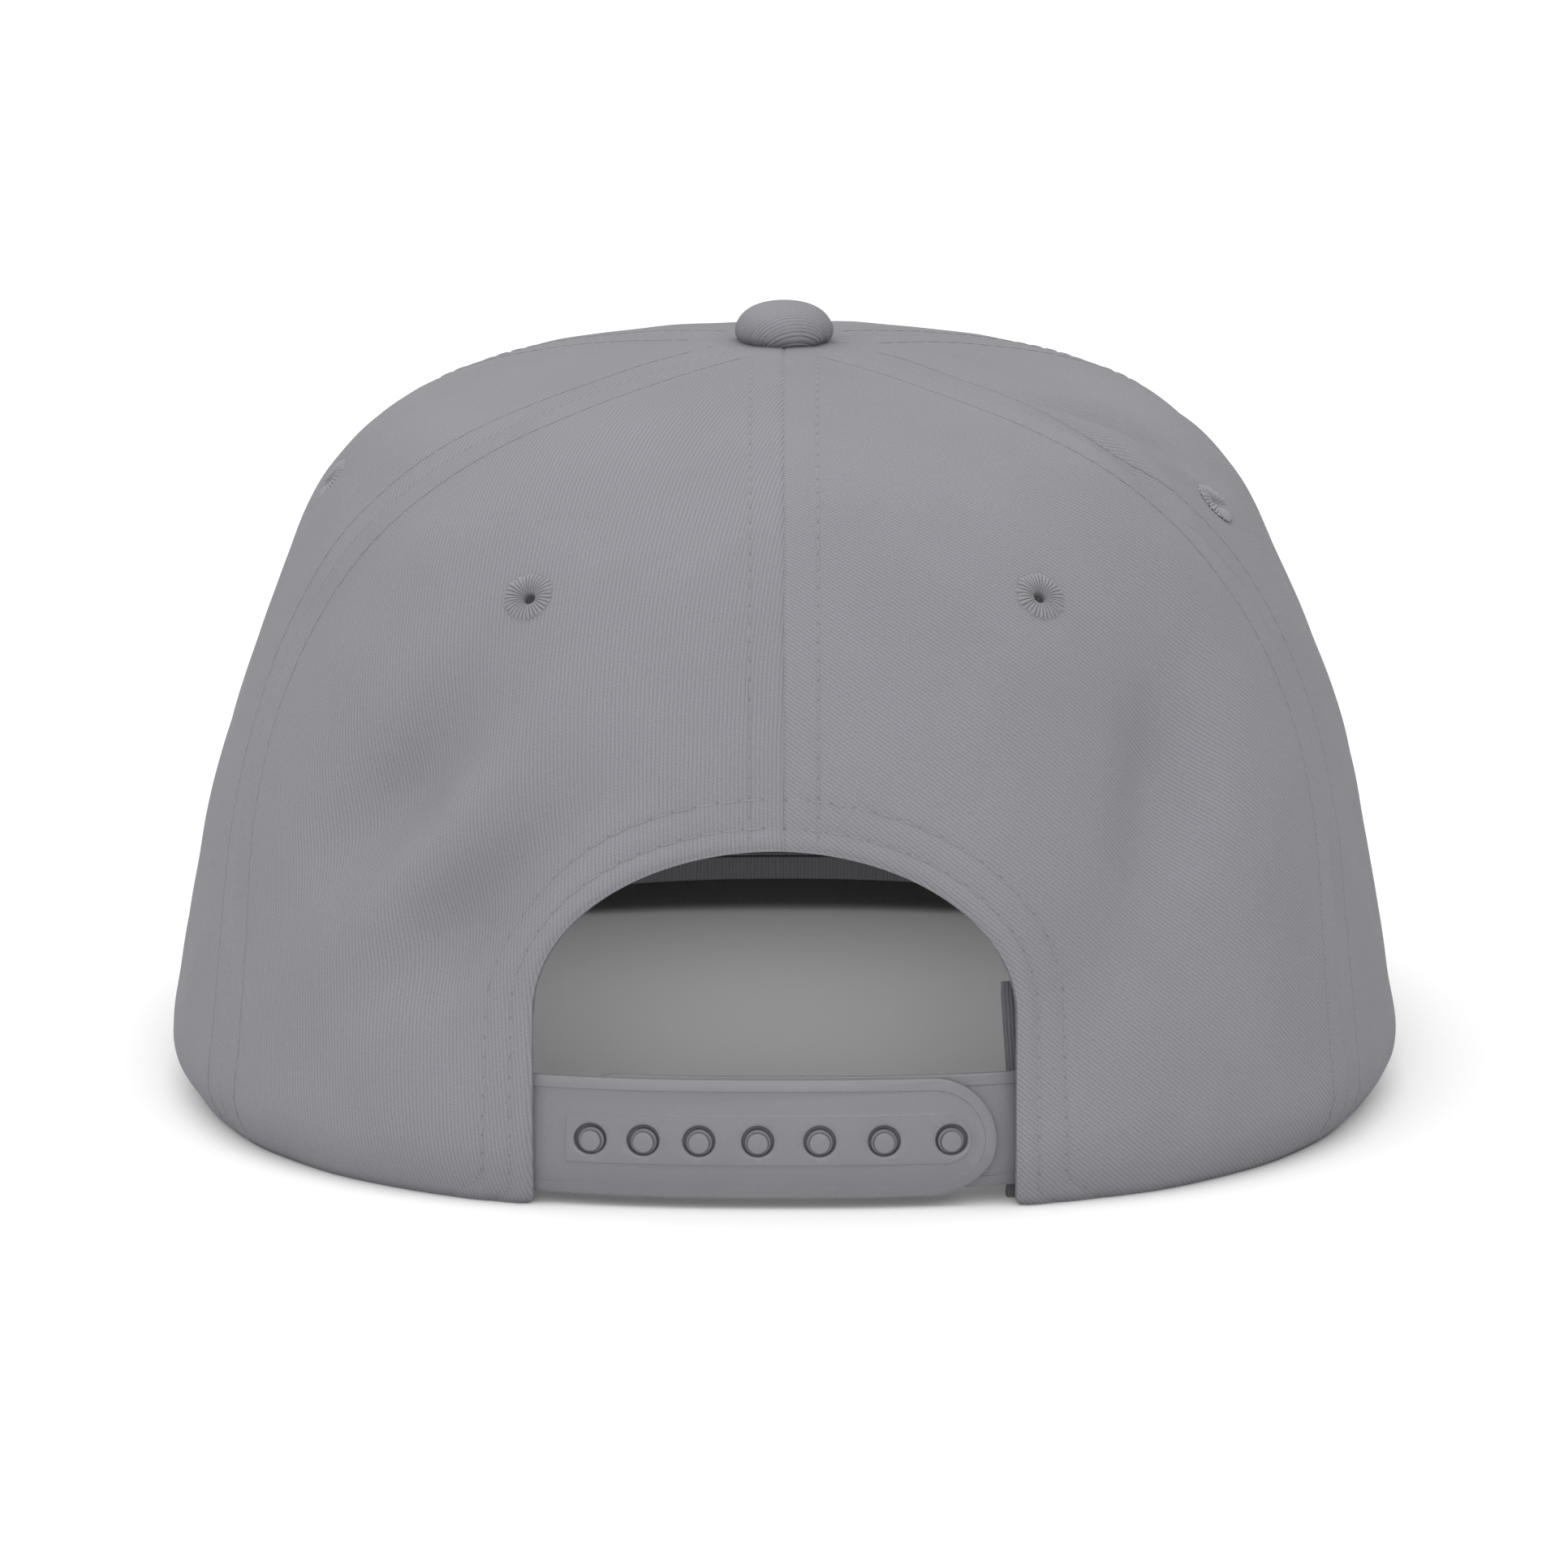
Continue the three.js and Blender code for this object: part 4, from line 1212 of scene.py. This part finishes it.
def build_band(crown):
    s = sizes()
    start = crown.azimuth_at(arch_side(1))
    stop = crown.azimuth_at(arch_side(-1) - BAND_SETBACK_LEFT) + 360
    column = (stop - start) / BAND_EASE_COLUMNS
    right_end = crown.azimuth_at(arch_side(1) + s.strap_sewn) + column
    left_end = crown.azimuth_at(arch_side(-1) - s.strap_sewn) + 360 - column
    at_sides = s.cloth_wall + s.piece_gap
    behind_one = at_sides + s.strap_wall + BAND_CLEARANCE
    behind_two = at_sides + 2 * s.strap_wall + s.piece_gap + BAND_CLEARANCE
    top = crown.level_at(s.band_height)
    rows = spaced(s.band_height, np.array((0, 0.3, 0.8, 1.4, 2.1, 2.6, 3, 3.4, 4)) * MM,
                  np.array((0, 0.3, 0.8, 1.4)) * MM, 1.5 * MM)
    form, across, up, side = sheet(np.linspace(0, 1, 401), rows)

    def face(azimuth):
        """Depth of the band's outer face under the cloth, which is greater behind the straps."""
        near_right = 1 - smooth(azimuth, right_end, right_end + column)
        near_left = smooth(azimuth, left_end - column, left_end)
        return at_sides + near_right * (behind_two - at_sides) + near_left * (behind_one - at_sides)

    azimuth = start + across * (stop - start)
    climb = up * s.band_height
    inner = relief(BAND_RELIEF, climb) + relief(BAND_RELIEF[:1], s.band_height - climb)
    wall = s.band_wall + inner + unevenness(azimuth * 1.6 * MM, climb, 5)
    points = crown.point(azimuth, up * top, -(face(azimuth) + wall * (1 - side)))
    place_verts(form, points)
    along = azimuth * math.pi * (s.crown_width + s.crown_back * 2) / 720
    finish_piece("sweat_band", form, "band_cotton_twill_woven", ["sweatband"],
                 {"cloth": np.stack((along, climb), -1)})
    line = np.linspace(start + 0.5, stop - 0.5, 1200)
    level = top * 3 * MM / s.band_height
    sewn = crown.point(line, level, -(face(line) + s.band_wall - 0.2 * MM))
    form = bmesh.new()
    sew(form, sewn, -crown.normal(line, level), run_lengths(sewn))
    finish_piece("band_stitches", form, "polyester_thread_spun")


class CAP_OT_sweatband(bpy.types.Operator):
    """Folds the sweatband and sews it inside the rim"""
    bl_idname = "cap.sweatband"
    bl_label = "Sweatband"

    def execute(self, context):
        build_band(Crown())
        return {"FINISHED"}


# Snap strap. The holes stand a little further apart towards the free end, as the strap turns square
# to the eye there: a middle, a pitch, and a spread that grows with the square of the count.
HOLE_MIDDLE = -3.8 * MM
HOLE_PITCH = 8.77 * MM
HOLE_SPREAD = 0.21 * MM
PEG_DROP = 0.3 * MM
PEG_PROUD = 0.15 * MM
STRAP_EDGE = 0.35 * MM
STRAP_END_SETBACK = 3 * MM
INNER_LIFT = 0.35 * MM
FIELD_MARGIN = 1.75 * MM
FIELD_DEPTH = 0.16 * MM
FIELD_ROUNDING = 0.15 * MM
BAR_HEIGHT = 7.2 * MM
BAR_START = -31.7 * MM
BAR_END = 27.2 * MM
ROUND_POINTS = 28


def hole_places():
    count = sizes().hole_count
    middle = (count - 1) / 2
    return [HOLE_MIDDLE + (k - middle) * HOLE_PITCH + (k - middle) ** 2 * HOLE_SPREAD for k in range(count)]


def round_ended(root, end, height):
    """Outline of a strap round its middle line, with a full round at its free end."""
    radius = height / 2
    side = math.copysign(1, end - root)
    angles = np.linspace(-math.pi / 2, math.pi / 2, ROUND_POINTS)
    arc = [(end - side * radius * (1 - math.cos(a)), radius * math.sin(a)) for a in angles]
    return [(root, -radius)] + arc + [(root, radius)]


def circle(x, radius):
    angles = np.linspace(0, 2 * math.pi, 32, endpoint=False)
    return [(x + radius * math.cos(a), radius * math.sin(a)) for a in angles]


def flat_solid(outlines, wall, edge):
    """Mesh of flat outlines given a wall, with the outer and inner edges rounded."""
    curve = bpy.data.curves.new("outline", "CURVE")
    curve.dimensions = "2D"
    curve.fill_mode = "BOTH"
    curve.extrude = wall / 2 - edge
    curve.bevel_depth = edge
    curve.bevel_resolution = 1
    curve.offset = -edge
    for outline in outlines:
        line = curve.splines.new("POLY")
        line.points.add(len(outline) - 1)
        for point, (x, y) in zip(line.points, outline):
            point.co = (x, y, 0, 1)
        line.use_cyclic_u = True
    shape = bpy.data.objects.new("outline", curve)
    bpy.context.scene.collection.objects.link(shape)
    mesh = bpy.data.meshes.new_from_object(shape.evaluated_get(bpy.context.evaluated_depsgraph_get()))
    bpy.data.objects.remove(shape)
    form = bmesh.new()
    form.from_mesh(mesh)
    bmesh.ops.remove_doubles(form, verts=form.verts[:], dist=0.005 * MM)
    bmesh.ops.recalc_face_normals(form, faces=form.faces[:])
    return form


def cut(form, tool):
    """Takes a solid out of another."""
    made = []
    for label, part in (("body", form), ("tool", tool)):
        mesh = bpy.data.meshes.new(label)
        part.to_mesh(mesh)
        part.free()
        made.append(bpy.data.objects.new(label, mesh))
        bpy.context.scene.collection.objects.link(made[-1])
    body, cutter = made
    knife = body.modifiers.new("cut", "BOOLEAN")
    knife.operation = "DIFFERENCE"
    knife.object = cutter
    mesh = bpy.data.meshes.new_from_object(body.evaluated_get(bpy.context.evaluated_depsgraph_get()))
    result = bmesh.new()
    result.from_mesh(mesh)
    for item in made:
        bpy.data.objects.remove(item)
    return result


def sink(form, outlines):
    """Sinks a shallow field, inside flat outlines, into the outer face of a strap."""
    pocket = flat_solid(outlines, 1 * MM, FIELD_ROUNDING)
    rise = sizes().strap_wall / 2 - FIELD_DEPTH + 0.5 * MM
    bmesh.ops.translate(pocket, verts=pocket.verts[:], vec=(0, 0, rise))
    return cut(form, pocket)


def bend_strap(crown, form, depth):
    """Bends a flat strap round the back of the crown, with its outer face at a depth under the cloth."""
    s = sizes()
    low = min(vert.co.x for vert in form.verts)
    high = max(vert.co.x for vert in form.verts)
    for x in np.arange(low, high, 1.5 * MM)[1:]:
        bmesh.ops.bisect_plane(form, geom=form.verts[:] + form.edges[:] + form.faces[:], dist=0.001 * MM,
                               plane_co=(x, 0, 0), plane_no=(1, 0, 0))
    for y in (-0.25, 0.0, 0.25):
        bmesh.ops.bisect_plane(form, geom=form.verts[:] + form.edges[:] + form.faces[:], dist=0.001 * MM,
                               plane_co=(0, y * s.strap_height, 0), plane_no=(0, 1, 0))
    bmesh.ops.triangulate(form, faces=[face for face in form.faces if len(face.verts) > 4])
    places = np.array([vert.co for vert in form.verts])
    azimuth = crown.azimuth_at(places[:, 0])
    level = crown.level_at(s.strap_foot + s.strap_height / 2 + places[:, 1])
    under = depth + s.strap_wall / 2 - places[:, 2]
    for vert, point in zip(form.verts, crown.point(azimuth, level, -under)):
        vert.co = point


def build_hole_strap(crown):
    s = sizes()
    root, end = arch_side(-1) - s.strap_sewn, arch_side(1) - STRAP_END_SETBACK
    outlines = [round_ended(root, end, s.strap_height)] + [circle(x, s.hole_radius) for x in hole_places()]
    form = flat_solid(outlines, s.strap_wall, STRAP_EDGE)
    field = round_ended(root - MM, end - FIELD_MARGIN, s.strap_height - 2 * FIELD_MARGIN)
    bar = round_ended(BAR_START, BAR_END, BAR_HEIGHT)
    form = sink(form, [field, bar])
    bend_strap(crown, form, s.cloth_wall + s.piece_gap)
    finish_piece("strap_with_holes", form, "polyethylene_moulded", ["strap_holes"], sharp=32)


# Section of a peg, in millimetres, from its root to the middle of its head
PEG_SECTION = (
    {"radius": 2.0, "height": -0.2},
    {"radius": 2.0, "height": 0.5},
    {"radius": 1.88, "height": 0.64},
    {"radius": 1.62, "height": 0.7},
    {"radius": 1.54, "height": 0.8},
    {"radius": 1.5, "height": 1.42},
    {"radius": 1.36, "height": 1.54},
    {"radius": 0.8, "height": 1.59},
    {"radius": 0.0, "height": 1.6},
)


def build_peg_strap(crown):
    s = sizes()
    depth = s.cloth_wall + 2 * s.piece_gap + s.strap_wall
    root, end = arch_side(1) + s.strap_sewn, arch_side(-1) + STRAP_END_SETBACK
    form = flat_solid([round_ended(root, end, s.strap_height)], s.strap_wall, STRAP_EDGE)
    field = round_ended(root + MM, end + FIELD_MARGIN, s.strap_height - 2 * FIELD_MARGIN)
    form = sink(form, [field])
    bmesh.ops.translate(form, verts=form.verts[:], vec=(0, INNER_LIFT, 0))
    bend_strap(crown, form, depth)
    middle = s.strap_foot + s.strap_height / 2 - PEG_DROP
    scale = (s.strap_wall + s.piece_gap + PEG_PROUD) / (PEG_SECTION[-1]["height"] * MM)
    section = [(row["radius"] / 1.5 * s.peg_radius, row["height"] * MM * scale) for row in PEG_SECTION]
    for x in hole_places():
        azimuth, level = crown.azimuth_at(x), crown.level_at(middle)
        peg = bmesh.new()
        spin_profile(peg, section, 28, False)
        turned = Vector((0, 0, 1)).rotation_difference(Vector(crown.normal(azimuth, level)))
        seat = Matrix.Translation(Vector(crown.point(azimuth, level, -depth)))
        bmesh.ops.transform(peg, matrix=seat @ turned.to_matrix().to_4x4(), verts=peg.verts[:])
        bmesh.ops.holes_fill(peg, edges=peg.edges[:], sides=0)
        add_form(form, peg)
    bmesh.ops.recalc_face_normals(form, faces=form.faces[:])
    finish_piece("strap_with_pegs", form, "polyethylene_moulded", ["strap_pegs"], sharp=32)


class CAP_OT_straps(bpy.types.Operator):
    """Moulds the two halves of the snap strap and bends them round the opening"""
    bl_idname = "cap.straps"
    bl_label = "Snap strap"

    def execute(self, context):
        crown = Crown()
        build_hole_strap(crown)
        build_peg_strap(crown)
        return {"FINISHED"}


class CAP_OT_stage(bpy.types.Operator):
    """Lays the floor and sets the soft light and the camera"""
    bl_idname = "cap.stage"
    bl_label = "Floor, light and camera"

    def execute(self, context):
        build_floor()
        build_light(context.scene)
        build_camera(context.scene)
        return {"FINISHED"}


# Light: angles in degrees, sizes and places in metres. The diffuser's tilt is about X and Y, and its
# energy is in watts a square metre. The soft box and the fill lamp have theirs in watts. The fill
# lamp's place counts from the floor under the crown's middle.
SURROUND = 0.3
DIFFUSER_ANGLE = 120
DIFFUSER_TILT = (7, -5)
DIFFUSER_ENERGY = 3.9
SOFT_BOX_WIDTH = 0.75
SOFT_BOX_HEIGHT = 0.7
SOFT_BOX_ENERGY = 8
SOFT_BOX_DISTANCE = 1.8
SOFT_BOX_ELEVATION = 18
FILL_SIZE = 0.08
FILL_ENERGY = 0.024
FILL_PLACE = (0, 0.035, 0.08)


def build_floor():
    form = bmesh.new()
    bmesh.ops.create_grid(form, x_segments=1, y_segments=1, size=4.0)
    mesh = bpy.data.meshes.new("floor")
    form.to_mesh(mesh)
    form.free()
    mesh.materials.append(material("paper_matt"))
    floor = bpy.data.objects.new("floor", mesh)
    bpy.context.scene.collection.objects.link(floor)


def add_lamp(scene, name, size, energy, place, back):
    """Adds a rectangular lamp that shines away from its back."""
    lamp = bpy.data.lights.new(name, "AREA")
    lamp.shape = "RECTANGLE"
    lamp.size, lamp.size_y = size
    lamp.energy = energy
    box = bpy.data.objects.new(name, lamp)
    box.location = place
    box.rotation_euler = back.to_track_quat("Z", "Y").to_euler()
    box.visible_camera = False
    scene.collection.objects.link(box)


def build_light(scene):
    """A dim white surround, a wide diffuser overhead, a soft box above and behind the camera, and a small
    lamp under the crown that lights the floor seen through the arch."""
    world = bpy.data.worlds.new("surround")
    world.use_nodes = True
    world.node_tree.nodes["Background"].inputs["Color"].default_value = (1, 1, 1, 1)
    world.node_tree.nodes["Background"].inputs["Strength"].default_value = SURROUND
    scene.world = world
    dome = bpy.data.lights.new("diffuser", "SUN")
    dome.angle = math.radians(DIFFUSER_ANGLE)
    dome.energy = DIFFUSER_ENERGY
    above = bpy.data.objects.new("diffuser", dome)
    above.rotation_euler = (math.radians(DIFFUSER_TILT[0]), math.radians(DIFFUSER_TILT[1]), 0)
    scene.collection.objects.link(above)
    rise = math.radians(SOFT_BOX_ELEVATION)
    facing = Vector((0, -math.cos(rise), math.sin(rise)))
    centre = Vector((0, CROWN_Y, 0))
    add_lamp(scene, "soft_box", (SOFT_BOX_WIDTH, SOFT_BOX_HEIGHT), SOFT_BOX_ENERGY,
             centre + facing * SOFT_BOX_DISTANCE, facing)
    add_lamp(scene, "fill", (FILL_SIZE, FILL_SIZE), FILL_ENERGY, centre + Vector(FILL_PLACE),
             Vector((0, 0, 1)))
    scene.view_settings.view_transform = "Standard"


# Camera: how far it stands from a point over the crown's middle, how high it looks down from, and the
# height that the middle of the picture shows
CAMERA_DISTANCE = 1.3
CAMERA_ELEVATION = math.radians(12)
CAMERA_PIVOT_HEIGHT = 55 * MM
CAMERA_AIM_HEIGHT = 43.2 * MM
CAMERA_LENS_MM = 192.6


def build_camera(scene):
    data = bpy.data.cameras.new("camera")
    data.lens = CAMERA_LENS_MM
    data.sensor_width = 36
    data.clip_end = 50
    eye = bpy.data.objects.new("camera", data)
    eye.location = (0, CROWN_Y - CAMERA_DISTANCE * math.cos(CAMERA_ELEVATION),
                    CAMERA_PIVOT_HEIGHT + CAMERA_DISTANCE * math.sin(CAMERA_ELEVATION))
    aim = Vector((0, CROWN_Y, CAMERA_AIM_HEIGHT))
    eye.rotation_euler = (aim - eye.location).to_track_quat("-Z", "Y").to_euler()
    scene.collection.objects.link(eye)
    scene.camera = eye


class CAP_PT_panel(bpy.types.Panel):
    """Buttons that build the cap piece by piece"""
    bl_idname = "CAP_PT_panel"
    bl_label = "Snapback cap"
    bl_space_type = "VIEW_3D"
    bl_region_type = "UI"
    bl_category = "Cap"

    def draw(self, context):
        for step in STEPS:
            self.layout.operator(step.bl_idname)


STEPS = (CAP_OT_panels, CAP_OT_stitches, CAP_OT_eyelets, CAP_OT_button, CAP_OT_peak, CAP_OT_sweatband,
         CAP_OT_straps, CAP_OT_stage)
CLASSES = (CapSizes, CapColours) + STEPS + (CAP_PT_panel,)


def register():
    for kind in CLASSES:
        bpy.utils.register_class(kind)
    bpy.types.Scene.cap_sizes = PointerProperty(type=CapSizes)
    bpy.types.Scene.cap_colours = PointerProperty(type=CapColours)


def unregister():
    del bpy.types.Scene.cap_colours
    del bpy.types.Scene.cap_sizes
    for kind in reversed(CLASSES):
        bpy.utils.unregister_class(kind)


def main():
    register()
    bpy.ops.cap.panels()
    bpy.ops.cap.stitches()
    bpy.ops.cap.eyelets()
    bpy.ops.cap.button()
    bpy.ops.cap.peak()
    bpy.ops.cap.sweatband()
    bpy.ops.cap.straps()
    bpy.ops.cap.stage()


if __name__ == "__main__":
    main()
